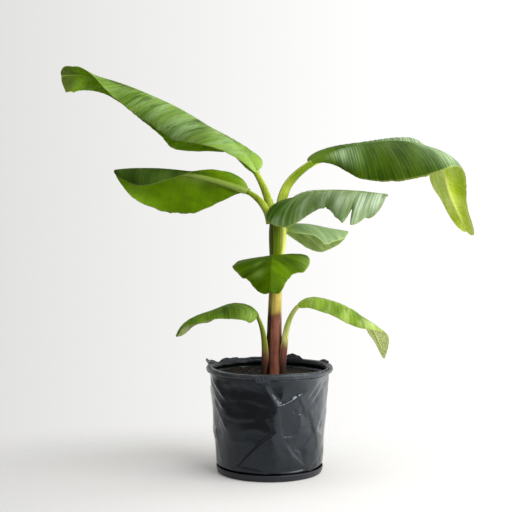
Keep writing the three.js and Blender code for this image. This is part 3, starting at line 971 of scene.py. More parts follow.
    def build_blade(self) -> Piece:
        """Build the blade as one thin shell with a grooved rib above and a keel below.

        Returns:
            The blade's object.
        """
        t = self.rows()
        halves = zip(self.half_grid(-1, t), self.half_grid(1, t))
        points, across, share = (np.concatenate([left[:, :0:-1], right], 1) for left, right in halves)
        normals = unit(np.cross(np.gradient(points, axis=1), np.gradient(points, axis=0)))
        middle = self.blade_line.frame(t)[3][:, None]
        rib_radius = through(self.keel, t)[:, None]
        from_rib = across / (1.1 * rib_radius)
        near = 1 - ease(from_rib)
        lower = unit(normals * (1 - near)[..., None] + middle * near[..., None])
        fade = ease((self.TIP - t) / 0.05)[:, None]
        grow = 1 + 0.5 * ease(t / 0.05)[:, None]
        keel = rib_radius * grow * np.clip(1 - from_rib**2, 0, 1) ** 0.8 * fade
        groove = 0.3 * rib_radius * np.clip(1 - (across / rib_radius) ** 2, 0, 1) ** 2 * fade
        half_thick = self.THICKNESS / 2 * (1 - 0.45 * share**3)
        over = points + normals * (half_thick - groove)[..., None]
        under = points - normals * half_thick[..., None] - lower * keel[..., None]
        rib_mark = 1 - ease((across / rib_radius - 0.55) / 0.7)
        edge_width = (1 - share) * np.maximum(across, 1e-6) / np.maximum(share, 1e-6)
        margin = 1 - ease(edge_width / self.margin_width)
        columns = share.shape[1]
        hands = np.where(np.arange(columns) < columns // 2, -1.0, 1.0)[None]
        along = np.broadcast_to(t[:, None], share.shape)
        skin = Skin()
        skin.add_leaf_shell(over, under, along=along, vein=along * self.length - self.lean * across,
                            across=across * hands, rib=rib_mark, margin=margin * (1 - rib_mark),
                            # The pale mark lays bloom and painted sheen.
                            pale=self.patched(along, share, hands, 1),
                            deep=self.patched(along, share, hands, -1))
        nodes = [f"leaf_{self.name}"] + ([f"leaf_{self.name}_tip"] if self.tip_node else [])
        piece = skin.finish(f"blade_{self.name}", self.finish.build(f"leaf_{self.name}"))
        return hand_over(piece, Slot.LEAF, *nodes)

    def patched(self, along: Array, share: Array, hands: Array, sign: int) -> Array:
        """Return how strongly the blade's pale or dark patches show at each point.

        Args:
            along: Places along the blade.
            share: Shares across each half.
            hands: -1 on the left half, 1 on the right.
            sign: 1 for the pale patches, -1 for the dark ones.

        Returns:
            Strengths from 0 to 1.
        """
        total = np.zeros_like(share)
        for patch in self.patches:
            far = ((along - patch.place) / patch.reach) ** 2 + ((share - patch.share) / patch.spread) ** 2
            on = (hands == patch.hand) | (patch.hand == 0)
            total = total + max(patch.strength * sign, 0.0) * np.exp(-far) * on
        return np.clip(total, 0, 1)

    def build_stalk(self, finish: Material) -> Piece:
        """Build the stalk, a grooved half round that clasps the stem at its foot.

        Args:
            finish: The stalk's material.

        Returns:
            The stalk's object.
        """
        count = max(int(self.stalk_length / 1.3), 30)
        t = np.linspace(0, 1, count)
        position, _, side, normal = self.stalk_line.frame(t)
        around = turns(self.STALK_SIDES)[None]
        radius = through(self.stalk_radii, t)[:, None]
        from_top = np.abs((np.degrees(around) - 90 + 180) % 360 - 180)
        low = (1 - ease(t / 0.6))[:, None]
        depth = (0.5 - 0.22 * low) * np.where(self.clasp > 0, 1 - low, 1.0)
        channel = depth * bell(from_top, 34)
        lips = 0.1 * bell(from_top - self.LIP, 13)
        ridges = 0.018 * np.sin(17 * around + 3 * wander(t * self.stalk_length / 40, self.seed)[:, None])
        bumps = 0.02 * mottle(t[:, None] * self.stalk_length / 14, around * 2.5, self.seed + 40)
        flare = 0.18 * (1 - ease(t / 0.3))[:, None]
        reach = radius * (1 - channel + lips + ridges + bumps)
        rings = position[:, None] + side[:, None] * (reach * (1 + flare) * np.cos(around))[..., None]
        pull = self.clasp * (ease(t / 0.3) * (1 - ease((t - 0.1) / 0.8)))[:, None]
        pressed = reach * (1 - 0.3 * flare) * np.sin(around) + pull * (1.4 + np.sin(around))
        rings = rings + normal[:, None] * pressed[..., None]
        foot = ease((self.brown_to + self.BROWN_FADE / 2 - rings[..., 2]) / self.BROWN_FADE)
        edge = bell(from_top - self.LIP, 9) * 0.55 * (1 - 0.8 * foot)
        shade = 0.35 * bell(from_top, 26)
        shade = np.maximum(shade, min(self.clasp, 1.0) * ease((self.SHADED_TO - rings[..., 2]) / 50) * 0.85)
        fibre = np.sin(around) * 3 + np.cos(around) * 4
        fresh = self.fresh * bell(from_top, 48)
        fresh = np.maximum(fresh, 1.15 * self.fresh * ease((t - 0.35) / 0.45)[:, None])
        return tube_piece(f"leafstalk_{self.name}", rings, finish, Slot.STEM, f"stalk_{self.name}",
                          foot=foot, edge=edge, shade=shade, fibre=fibre, fresh=fresh)


# Folds that run over a round surface.


@dataclass(frozen=True)
class Fold:
    """A ledge along a path of (degrees from the front toward +X, height in mm).

    The side to the left of the path's direction stands out by height and settles back.
    """

    path: Sequence[tuple[float, float]]
    height: float = 2.0
    width: float = 4.0
    settle: float = 26.0
    crest: float = 0.0

    POINTS: ClassVar[int] = 20

    def offset(self, degrees: Array, z: Array, radius: float) -> Array:
        """Work out how far the surface stands out along the fold.

        Args:
            degrees: Angle of each point from the front.
            z: Height of each point in millimetres.
            radius: Radius that turns angles into lengths.

        Returns:
            Outward offset of each point in millimetres.
        """
        degrees, z = np.broadcast_arrays(degrees, z)
        places = np.linspace(0, 1, self.POINTS)
        path_x = np.radians(through([p[0] for p in self.path], places)) * radius
        path_z = through([p[1] for p in self.path], places)
        x = np.radians(degrees) * radius
        reach = 3.2 * self.settle
        near = (x > path_x.min() - reach) & (x < path_x.max() + reach)
        near &= (z > path_z.min() - reach) & (z < path_z.max() + reach)
        result = np.zeros_like(x)
        px = x[near]
        pz = z[near]
        best = np.full(px.shape, np.inf)
        signed = np.zeros_like(px)
        along = np.zeros_like(px)
        for k in range(self.POINTS - 1):
            dx = path_x[k + 1] - path_x[k]
            dz = path_z[k + 1] - path_z[k]
            square = max(dx * dx + dz * dz, 1e-9)
            s = np.clip(((px - path_x[k]) * dx + (pz - path_z[k]) * dz) / square, 0, 1)
            gap = np.hypot(px - path_x[k] - s * dx, pz - path_z[k] - s * dz)
            turn = np.sign(dx * (pz - path_z[k]) - dz * (px - path_x[k]))
            closer = gap < best
            best = np.where(closer, gap, best)
            signed = np.where(closer, gap * turn, signed)
            along = np.where(closer, (k + s) / (self.POINTS - 1), along)
        ends = ease(np.minimum(along, 1 - along) / 0.22)
        beyond = np.where((along <= 0) | (along >= 1), bell(best, 0.5 * self.settle), 1.0)
        step = ease(signed / self.width + 0.5) * np.exp(-np.maximum(signed, 0) / self.settle)
        ridge = self.crest * bell(signed, self.width)
        result[near] = (self.height * step + ridge) * (0.15 + 0.85 * ends) * beyond
        return result


def seeded_folds(seed: int, count: int, middle: float, spread: float, low: float, high: float) -> list[Fold]:
    """Lay out short slack folds at random.

    Args:
        seed: Seed of the draws.
        count: Number of folds.
        middle: Angle in degrees that they lie round.
        spread: Half of the angle that they cover.
        low: Lowest height in millimetres.
        high: Highest height in millimetres.

    Returns:
        The folds.
    """
    draw = np.random.default_rng(seed)
    folds = []
    for _ in range(count):
        angle = middle + draw.uniform(-spread, spread)
        z = draw.uniform(low, high)
        slant = draw.choice([-1, 1]) * draw.uniform(6, 22)
        drop = draw.uniform(25, 70)
        bow = draw.uniform(-6, 6)
        path = [(angle - slant / 2, z + drop / 2), (angle + bow, z), (angle + slant / 2, z - drop / 2)]
        folds.append(Fold(path, height=draw.uniform(1.0, 2.8), width=draw.uniform(6, 12),
                          settle=draw.uniform(12, 30)))
    return folds


@dataclass
class FalseStem:
    """The false stem: sheaths wrapped round each other, in millimetres."""

    foot: float = 231.6
    length: float = 378.0
    middle_x: Sequence[float] = (11, 10.6, 11.2, 12.6, 14.4, 16.6, 18.8, 18)
    radii: Sequence[float] = (19.6, 18.6, 17.6, 15.9, 15.2, 16.8, 20.8, 17)
    fold_radius: float = 17.0
    flatness: float = 0.92
    sunk: float = 5.0
    groove_shade_angle: float = 44.0
    edges_from: float = 300.0
    groove_shade_to: float = 385.0
    brown_to: float = 396.0
    dark_to: float = 405.0
    fresh_from: float = 425.0
    green_from: float = 440.0
    upper_shade_from: float = 450.0
    sides: int = 144
    rows: int = 330
    sheaths: Sequence[Fold] = (
        Fold([(-62, 612), (-30, 575), (-24, 520), (-30, 430)], 1.5, 1.6, 16),
        Fold([(62, 612), (48, 560), (52, 470), (60, 385)], -1.3, 1.6, 14),
        Fold([(25, 232), (30, 290), (42, 350), (70, 400)], 1.2, 1.8, 12),
        Fold([(-75, 232), (-60, 300), (-48, 360), (-20, 410)], -1.2, 1.8, 12),
        Fold([(150, 232), (165, 350), (150, 470), (170, 600)], 1.4, 1.8, 14),
        Fold([(-140, 232), (-128, 330), (-150, 450), (-130, 600)], 1.3, 1.8, 14),
    )

    def build(self, finish: Material) -> Piece:
        """Build the stem's mesh with the sheaths' relief.

        Args:
            finish: The stem's material.

        Returns:
            The stem's object.
        """
        top = self.foot + self.length
        z = np.linspace(self.foot - self.sunk, top, self.rows)[:, None]
        t = (z - self.foot) / self.length
        degrees = degrees_round(self.sides)[None]
        edge = 0.0
        relief = 0.0
        for sheath in self.sheaths:
            relief = relief + sheath.offset(degrees, z, self.fold_radius)
            line = Fold(sheath.path, 0.0, 1.1, 16.0, 1.0)
            edge = np.maximum(edge, line.offset(degrees, z, self.fold_radius))
        around = np.radians(degrees)
        ribs = 0.16 * np.sin(23 * around + 2 * wander(z / 60, 5)) + 0.1 * np.sin(41 * around + z / 50)
        bumps = 0.35 * mottle(z / 26, degrees / 40 + 9, 8)
        close = np.sqrt(np.clip((top - z) / 14, 0, 1))
        radius = (through(self.radii, t) + 0.7 * relief - 0.3 + ribs + bumps) * (0.25 + 0.75 * close)
        x = through(self.middle_x, t) + radius * np.sin(around)
        y = -radius * self.flatness * np.cos(around)
        rings = np.stack(np.broadcast_arrays(x, y, z), -1)
        uneven = 2.5 * np.sin(around * 2 + 0.6) + 1.5 * np.sin(around * 5)
        foot = ease((self.brown_to + uneven - z) / 40)
        green = ease((z - self.green_from) / 60)
        # Painted shade down the left side, partly the sheaths' own dark colour.
        left = ease((-20 - degrees) / 22) * ease((degrees + 160) / 30)
        shade = left * (0.44 - 0.24 * green + 0.5 * ease((self.dark_to - z) / 45))
        # Painted shade in the groove between the stem and the lower right leaf's stalk.
        shade = shade + 0.45 * bell(degrees - self.groove_shade_angle, 13) * ease((self.groove_shade_to - z) / 50)
        # Painted shade high on the stem, on its front left.
        shade = shade + 0.35 * ease((z - self.upper_shade_from) / 60) * bell(degrees + 35, 26)
        fresh = ease((z - self.fresh_from) / 60) * (0.34 + 0.66 * ease((55 - degrees) / 50))
        fibre = np.sin(around) * 8 + np.cos(around) * 9
        # Painted highlight: a pale band down the lit right side of the upper stem, carried on the edge mark
        # together with the pale sheath margins.
        bright = 0.75 * ease((degrees - 26) / 24) * ease((130 - degrees) / 30) * green
        edge = np.maximum(edge * 0.6 * ease((z - self.edges_from) / 120), bright)
        return tube_piece("sheathed_stem", rings, finish, Slot.STEM, "false_stem", foot=foot, edge=edge,
                          shade=np.clip(shade, 0, 0.92), fibre=fibre, fresh=np.clip(fresh, 0, 1))


@dataclass
class FilmPot:
    """The film pot: a slack bag with its top rolled over a stiff rim, in millimetres."""

    foot: float = 3.4
    top: float = 236.6
    profile: Sequence[tuple[float, float]] = ((3.4, 116), (8.4, 120), (15, 121), (24, 125), (236.6, 139.5))
    wall: float = 2.4
    rim_top: float = 251.0
    flare: float = 6.5
    flare_from: float = 205.0
    fold_radius: float = 133.0
    floor: float = 3.6
    columns: int = 420
    rows: int = 168
    rim_columns: int = 480
    rim_points: int = 40
    rim_middle: tuple[float, float] = (142.0, 244.0)
    folds: Sequence[Fold] = (
        Fold([(-5, 231), (-1, 218), (4, 201), (10, 184), (18, 189), (29, 202), (42, 217)], -6.5, 17.0, 24),
        Fold([(9, 184), (10, 154), (11, 128), (14, 96)], -1.6, 9.0, 30),
        Fold([(7, 116), (-4, 104), (-20, 69), (-36, 33), (-57, 14)], 3.0, 8.0, 26),
        Fold([(-78, 246), (-64, 215), (-48, 183)], 3.2, 9.0, 18),
        Fold([(-80, 229), (-66, 186), (-50, 160)], 3.0, 9.0, 18),
        Fold([(-76, 183), (-60, 144), (-46, 106)], 3.2, 9.0, 20),
        Fold([(-76, 112), (-70, 72), (-62, 28)], 3.0, 8.0, 18),
        Fold([(-50, 214), (-30, 226), (-10, 212)], 1.6, 18.0, 16),
        Fold([(-46, 184), (-24, 190), (4, 172)], 1.6, 18.0, 18),
        Fold([(-52, 150), (-32, 141), (-12, 148)], 1.3, 15.0, 14),
        Fold([(-32, 112), (-14, 120), (0, 110)], 1.2, 14.0, 16),
        Fold([(-50, 92), (-34, 86), (-20, 94)], 1.0, 12.0, 14),
        Fold([(70, 248), (56, 225), (40, 190)], -3.4, 7.0, 18),
        Fold([(72, 225), (58, 204), (46, 180)], -2.6, 7.0, 16),
        Fold([(76, 182), (64, 146), (55, 110)], -2.8, 9.0, 20),
        Fold([(75, 68), (60, 42), (44, 20)], -3.2, 5.0, 16, 0.5),
        Fold([(8, 23), (26, 22), (42, 24)], -3.4, 5.0, 12),
        Fold([(14, 98), (26, 62), (44, 26)], -1.8, 10.0, 16),
        Fold([(23, 162), (28, 157), (34, 154)], -1.8, 6.0, 10),
        Fold([(12, 106), (21, 105), (29, 109)], -1.6, 5.0, 10),
        Fold([(26, 74), (33, 66), (37, 44)], -1.6, 6.0, 10),
        Fold([(-36, 34), (-14, 28), (0, 18)], -2.4, 9.0, 16),
        Fold([(-16, 238), (-14, 228), (-9, 220)], 1.8, 4.0, 8),
    )
    loose: Sequence[tuple[int, int, float, float, float, float]] = (
        (11, 14, 122, 50, 45, 215),
        (12, 16, 180, 55, 40, 215),
        (13, 14, -128, 45, 45, 215),
        (14, 7, 22, 34, 50, 180),
    )

    def slack(self, degrees: Array, z: Array) -> Array:
        """Work out the film's broad slack folds, as the frame's pot has them.

        Args:
            degrees: Angles from the front.
            z: Heights.

        Returns:
            Outward offsets.
        """
        angle = np.radians(degrees - 90)
        height = z / self.rim_top
        broad = np.sin(3 * angle + 1.1 + 2.2 * height)
        narrow = np.sin(7 * angle - 0.6 - 1.7 * height)
        return np.sin(np.pi * np.clip((z - 22) / 205, 0, 1)) * (1.6 * broad + 1.1 * narrow)

    def radius_at(self, degrees: Array, z: Array) -> Array:
        """Work out the film's outer radius.

        Args:
            degrees: Angles from the front.
            z: Heights.

        Returns:
            Radii.
        """
        radius = np.interp(z, *zip(*self.profile))
        spread = 0.25 + 0.75 * np.clip(np.cos(np.radians(degrees)), 0, 1) ** 2
        rise = np.clip((z - self.flare_from) / (self.top - self.flare_from), 0, 1)
        radius = radius + self.flare * spread * rise**1.5
        folds = list(self.folds)
        for row in self.loose:
            folds.extend(seeded_folds(*row))
        creases = sum(fold.offset(degrees, z, self.fold_radius) for fold in folds)
        hang = 1.3 * mottle(degrees / 16 + 20, z / 44, 21) + 0.4 * mottle(degrees / 6 + 40, z / 18, 22)
        window = ease((z - 15) / 9) * (0.25 + 0.75 * ease((self.top - z) / 16))
        return radius + self.slack(degrees, z) + (creases + hang) * window

    def build_bag(self, finish: Material) -> Piece:
        """Build the bag: outer wall, turned top, inner wall and floor.

        Args:
            finish: The film's material.

        Returns:
            The bag's object.
        """
        degrees = degrees_round(self.columns)[None]
        z = np.linspace(self.foot, self.top, self.rows)[:, None]
        outer = self.radius_at(degrees, z)
        inner_rows = np.linspace(self.rows - 1, 3, 14).astype(int)
        inner = outer[inner_rows] - self.wall
        inner_z = z[inner_rows] + np.where(inner_rows < 9, 3.0, 0.0)[:, None]
        shares = np.array([[0.05], [0.5], [0.9]])
        radius = np.concatenate([outer[:1] * shares, outer, inner, inner[-1:] * shares[::-1]])
        under = np.full_like(shares, self.foot)
        height = np.concatenate([under, z, inner_z, under + self.floor])
        rings = round_points(radius, np.radians(degrees - 90), height)
        return tube_piece("slack_film_bag", rings, finish, Slot.POT, "film_pot")

    def rim_section(self) -> Array:
        """Draw the rolled rim's section.

        Returns:
            Points of (radius, height).
        """
        corners = np.array([
            (134.0, 237.2), (140.5, 237.0), (145.4, 237.4), (148.8, 240.0), (149.9, 245.0),
            (148.2, 249.4), (143.0, 250.8), (137.0, 249.3), (134.0, 244.0)])
        wrapped = np.concatenate([corners[-1:], corners, corners[:2]])
        t = np.linspace(0, len(corners), self.rim_points, endpoint=False)
        scaled = (t + 1) / (len(wrapped) - 1)
        return np.stack([through(wrapped[:, k], scaled) for k in range(2)], 1)

    def build_rim(self, film: Material, dusty: Material) -> Piece:
        """Build the rolled rim and the scraps of film that stand on it.

        Args:
            film: The film's material.
            dusty: Material of the dusty scraps.

        Returns:
            The rim's object.
        """
        section = self.rim_section()
        degrees = degrees_round(self.rim_columns)[:, None]
        world = np.radians(degrees - 90)
        radius, height = section.T[:, None]
        height = height + 1.2 * np.sin(4 * world + 0.5) * ease((height - 241) / 4)
        place = np.arange(len(section))[None] / 4.0
        arc = degrees * 2.5
        crumple = 0.5 * mottle(arc / 9 + 60, place, 31)
        crumple = crumple + 0.9 * np.abs(mottle(arc / 26 + 80, place / 3, 32)) ** 2
        crumple = crumple * (0.35 + 0.65 * ease((np.abs(degrees) - 30) / 50))
        inward = unit(np.array(self.rim_middle) - section)[None]
        # Marks the rim's inner face for painted shade.
        inside = 1 - ease((radius - 137) / 6)
        radius = radius + inward[..., 0] * (crumple + 0.3)
        height = height + inward[..., 1] * (crumple + 0.3)
        skin = Skin()
        skin.add_ring(round_points(radius, world, height), inside=inside)
        for number, scrap in enumerate(SCRAPS):
            scrap.add_to(skin, 50 + number)
        return hand_over(skin.finish("rolled_film_rim", [film, dusty]), Slot.POT, "film_rim")


@dataclass(frozen=True)
class Scrap:
    """A scrap of film that stands on the rim, between two angles in degrees from +X."""

    start: float
    end: float
    radius: float
    height: Sequence[float]
    lean: Sequence[float]
    dusty: bool = False
    crumple: float = 1.0
    foot: float = 245.0
    top: float = 251.0

    WIDEST: ClassVar[float] = 151.5
    THICKNESS: ClassVar[float] = 0.9
    COLUMNS: ClassVar[int] = 48
    ROWS: ClassVar[int] = 18

    def add_to(self, skin: Skin, seed: int) -> None:
        """Add the scrap's crumpled sheet.

        Args:
            skin: The rim's skin.
            seed: Seed of the crumpling.
        """
        across = np.linspace(0, 1, self.COLUMNS)[:, None]
        up = np.linspace(0, 1, self.ROWS)[None]
        ragged = 1 + 0.16 * wander(across * 11, seed) + 0.08 * wander(across * 29, seed + 1)
        tall = np.maximum(self.foot + 3, self.top + through(self.height, across) * ragged)
        z = self.foot + (tall - self.foot) * up
        out = through(self.lean, across) * up**1.3
        folds = np.abs(mottle(across * 9, up * 2.6, seed + 2)) * 2.6 - 1.0
        out = out + self.crumple * folds * ease(up * 1.6) + 0.4 * mottle(across * 23, up * 7, seed + 3)
        angle = np.radians(self.start + (self.end - self.start) * across)
        sheet = round_points(np.minimum(self.radius + out, self.WIDEST), angle, z)
        normals = unit(np.cross(np.gradient(sheet, axis=1), np.gradient(sheet, axis=0)))
        thick = self.THICKNESS / 2
        slots_before = len(skin.slots)
        skin.add_leaf_shell(sheet - normals * thick, sheet + normals * thick, inside=0.0)
        for k in range(slots_before, len(skin.slots)):
            skin.slots[k][:] = 1 if self.dusty else 0


SCRAPS = (
    Scrap(150, 204, 143, (-3, 5, 8, 15, 14, 7, -3), (0, 1, 4, 6, 5, 2, 0), True, 1.6),
    Scrap(118, 150, 141, (-3, 3, 2, 4, 3, -3), (0, 1, 2, 1, 0), False, 1.4),
    Scrap(52, 84, 141, (-3, 5, 9, 7, 3, -3), (0, 2, 3, 1, 0)),
    Scrap(8, 36, 142, (-3, 4, 6, 3, -3), (0, 4, 2, 3, 0)),
    Scrap(330, 352, 143, (-3, 4, 2, 4.5, -3), (0, 3, 1, 2, 0), True, 0.7),
    Scrap(257, 270, 149.6, (0, 0.6, 0.4, 0), (0.4, 0.8, 0.6), False, 0.5, 232.0, 247.0),
)


@dataclass
class Saucer:
    """The thin saucer under the pot, in millimetres."""

    radius: float = 126.5
    height: float = 16.0
    wall: float = 2.4
    floor: float = 3.0
    columns: int = 240

    def outline(self) -> Array:
        """Draw the saucer's section from its middle underneath to its middle inside.

        Returns:
            Points of (radius, height).
        """
        outer = self.radius
        inner = outer - self.wall
        corner = [(outer - 8 + 5 * math.sin(a), 3 - 3 * math.cos(a)) for a in np.linspace(0, 1.4, 7)]
        lip = [(outer - self.wall / 2 + self.wall / 2 * math.cos(a),
                self.height - 1.2 + 1.2 * math.sin(a)) for a in np.linspace(0, math.pi, 9)]
        well = [(inner - 3 - 4 * math.sin(a), self.floor + 4 - 4 * math.cos(a))
                for a in np.linspace(1.4, 0, 6)]
        grooves = [(r, self.floor - 0.35 * (k % 2)) for k, r in enumerate(np.linspace(inner - 9, 30, 18))]
        under = [(0.5, 0.0), (60, 0.0), (100, 0.0)]
        ribs = [(outer - 2.6, 5.5), (outer - 1.6, 6.4), (outer - 1.5, 9.0), (outer - 0.5, 10.2)]
        middle = [(12, self.floor), (0.5, self.floor)]
        return np.array(under + corner + ribs + lip + well + grooves + middle)

    def build(self, finish: Material) -> Piece:
        """Build the saucer by turning its section.

        Args:
            finish: The saucer's material.

        Returns:
            The saucer's object.
        """
        section = self.outline()
        around = turns(self.columns)[None]
        rings = round_points(section[:, :1], around, section[:, 1:])
        return tube_piece("turned_saucer", rings, finish, Slot.SAUCER, "saucer")


@dataclass
class Compost:
    """The compost in the pot and the crumbs on it, in millimetres."""

    level: float = 231.0
    foot: float = 9.8
    foot_radius: float = 112.9
    edge_radius: float = 134.6
    crumb_density: float = 43000.0
    crumb_size: float = 0.0019
    seed: int = 5
    columns: int = 240
    rows: int = 64
    stem_edge: float = 19.0
    bed_columns: int = 97
    bed_rows: int = 40

    LUMPS_PER_METRE: ClassVar[float] = 420.0
    CRUMB_SCALES: ClassVar[tuple[Triple, Triple]] = ((0.35, 0.3, 0.25), (1.6, 1.0, 0.8))
    CRUMB_TURNS: ClassVar[tuple[Triple, Triple]] = ((0.0, 0.0, 0.0), (6.283, 6.283, 6.283))

    def surface(self, radius: Array, angle: Array) -> Array:
        """Work out the height of the compost's top, as the frame's soil has it, with lumps.

        Args:
            radius: Distances from the upright axis.
            angle: Angles round it in radians.

        Returns:
            Heights.
        """
        heap = 2.2 * np.sin(2 * angle + 0.6) * np.sin(radius / 34)
        x = radius * np.cos(angle)
        y = radius * np.sin(angle)
        lumps = 1.3 * mottle(x / 9 + 40, y / 9 + 40, 61) + 0.8 * mottle(x / 3.5 + 40, y / 3.5 + 40, 62)
        rise = 2.0 * ease((40 - radius) / 30)
        return self.level - 3.6 + heap + lumps + rise

    def build_body(self, finish: Material) -> Piece:
        """Build the compost's body with its lumpy top.

        Args:
            finish: The compost's material.

        Returns:
            The body's object.
        """
        angle = turns(self.columns)[None]
        radius = self.edge_radius * np.linspace(1, 0.01, self.rows)[:, None]
        whole_radius = np.concatenate([[[1.0], [self.foot_radius]], radius])
        under = np.full((2, self.columns), self.foot)
        height = np.concatenate([under, self.surface(radius, angle)])
        rings = round_points(whole_radius, angle, height)
        return tube_piece("compost_body", rings, finish, Slot.COMPOST, "soil")

    def crumb_tree(self) -> bpy.types.NodeTree:
        """Build the node tree that scatters crumbs over a surface.

        Returns:
            The tree, with inputs Geometry, Density, Size, Seed and Finish.
        """
        tree = bpy.data.node_groups.new("compost_crumbs", "GeometryNodeTree")
        inputs = {"Geometry": "Geometry", "Density": "Float", "Size": "Float", "Seed": "Int",
                  "Finish": "Material"}
        for name, kind in inputs.items():
            tree.interface.new_socket(name, in_out="INPUT", socket_type=f"NodeSocket{kind}")
        tree.interface.new_socket("Geometry", in_out="OUTPUT", socket_type="NodeSocketGeometry")
        net = Nodes(tree)
        given = net.add("NodeGroupInput").outputs
        scatter = net.add("GeometryNodeDistributePointsOnFaces", {
            "Mesh": given["Geometry"], "Density": given["Density"], "Seed": given["Seed"]})
        lump = net.add("GeometryNodeMeshIcoSphere", {"Radius": given["Size"], "Subdivisions": 2})
        rough = net.add("ShaderNodeTexNoise", {"Scale": self.LUMPS_PER_METRE})
        push = net.add("ShaderNodeVectorMath", {0: rough.outputs["Color"], "Scale": given["Size"]},
                       operation="SCALE")
        shaped = net.add("GeometryNodeSetPosition", {
            "Geometry": lump.outputs["Mesh"], "Offset": push.outputs[0]})
        size, turn = (
            net.add("FunctionNodeRandomValue", {"Min": low, "Max": high, "Seed": given["Seed"]},
                    data_type="FLOAT_VECTOR").outputs["Value"]
            for low, high in (self.CRUMB_SCALES, self.CRUMB_TURNS))
        place = net.add("GeometryNodeInstanceOnPoints", {
            "Points": scatter.outputs["Points"], "Instance": shaped.outputs["Geometry"],
            "Rotation": turn, "Scale": size})
        real = net.add("GeometryNodeRealizeInstances", {"Geometry": place.outputs["Instances"]})
        coat = net.add("GeometryNodeSetMaterial", {
            "Geometry": real.outputs["Geometry"], "Material": given["Finish"]})
        net.add("NodeGroupOutput", {"Geometry": coat.outputs["Geometry"]})
        return tree

    def build_crumbs(self, finish: Material) -> Piece:
        """Scatter crumbs over the compost's top and make them one plain mesh.

        Args:
            finish: The crumbs' material.

        Returns:
            The crumbs' object.
        """
        angle = np.linspace(0, 2 * np.pi, self.bed_columns)[None]
        radius = np.linspace(self.stem_edge, self.edge_radius - 1.5, self.bed_rows)[:, None]
        points = round_points(radius, angle, self.surface(radius, angle) - 0.6)
        corners = cells(numbered(points), False)
        mesh = bpy.data.meshes.new("crumb_bed")
        mesh.from_pydata((points.reshape(-1, 3) * MM).tolist(), [], corners.tolist())
        bed = linked("crumb_bed", mesh)
        tree = self.crumb_tree()
        modifier = bed.modifiers.new("crumbs", "NODES")
        modifier.node_group = tree
        given = {"Density": self.crumb_density, "Size": self.crumb_size, "Seed": self.seed, "Finish": finish}
        for item in tree.interface.items_tree:
            if item.in_out == "INPUT" and item.name in given:
                modifier[item.identifier] = given[item.name]
        view = bpy.context.evaluated_depsgraph_get()
        made = bpy.data.meshes.new_from_object(bed.evaluated_get(view))
        bed.modifiers.remove(modifier)
        bpy.data.objects.remove(bed)
        made.name = "compost_crumbs"
        if not made.materials:
            made.materials.append(finish)
        return hand_over(linked("compost_crumbs", made), Slot.COMPOST)


# Looks of the leaves; their pale bloom colours also paint sheen and highlights.
PALE = BladeFinish(
    tone(80, 116, 20), tone(134, 164, 66), tone(104, 138, 6), tone(132, 168, 16), bloom=0.35, flecks=0.6,
    bloom_and_painted_sheen=tone(146, 176, 116), heel=tone(162, 194, 84), tip=tone(80, 86, 40), tip_from=0.88,
    lit=tone(170, 215, 0), sheen=0.08)
DEEP = BladeFinish(
    tone(46, 66, 12), tone(70, 94, 26), tone(98, 132, 0), tone(116, 152, 6), bloom=0.04, flecks=0.1,
    bloom_and_painted_sheen=tone(172, 190, 96), rib=tone(164, 184, 90), heel=tone(140, 164, 66), lit=tone(165, 215, 0),
    sheen=0.08, coat=0.02)
# Painted light: the near-white underside colours stand in for light shining through the hanging tip.
BROAD = BladeFinish(
    tone(26, 54, 0), tone(64, 96, 12), tone(188, 220, 24), tone(232, 248, 110), bloom=0.02, flecks=0.05,
    bloom_and_painted_sheen=tone(196, 222, 176), rib=tone(224, 230, 130), lit=tone(246, 255, 80), glow=(0.14, 0.12),
    heel=tone(96, 126, 34), ribbed=(0.0, 1.0), sheen=0.05, coat=0.02, shine=0.3, lined=0.4)
TORN = BladeFinish(
    tone(84, 106, 46), tone(132, 152, 100), tone(80, 106, 24), tone(112, 138, 56), bloom=0.2, flecks=0.1,
    bloom_and_painted_sheen=tone(208, 224, 196), deep=tone(44, 72, 0), heel=tone(48, 76, 0), sheen=0.1, coat=0.03, shine=0.28)
SMALL = BladeFinish(
    tone(114, 140, 86), tone(160, 180, 136), tone(138, 160, 76), tone(190, 206, 136), bloom=0.35, flecks=0.4,
    margin=tone(190, 208, 128), edging=0.9, sheen=0.1)
FRONT = BladeFinish(
    tone(50, 74, 0), tone(88, 116, 2), tone(80, 108, 12), tone(104, 132, 30), bloom=0.02, flecks=0.1,
    bloom_and_painted_sheen=tone(116, 142, 66), rib=tone(96, 124, 20), heel=tone(80, 110, 10), glow=(0.22, 0.25), sheen=0.03,
    coat=0.0)
LOW = BladeFinish(
    tone(76, 105, 12), tone(112, 142, 40), tone(140, 146, 78), tone(194, 196, 150), bloom=0.08, flecks=0.4,
    bloom_and_painted_sheen=tone(156, 184, 92), heel=tone(140, 172, 74), sheen=0.05)
# Painted light: the tip and underside colours stand in for light shining through the hanging tip.
FRESH = BladeFinish(
    tone(92, 126, 28), tone(140, 170, 66), tone(226, 242, 140), tone(244, 252, 186), bloom=0.15, flecks=0.4,
    bloom_and_painted_sheen=tone(214, 228, 164), heel=tone(172, 200, 66), tip=tone(242, 252, 170), tip_from=0.62,
    lit=tone(250, 255, 160), glow=(0.2, 0.1), sheen=0.08)


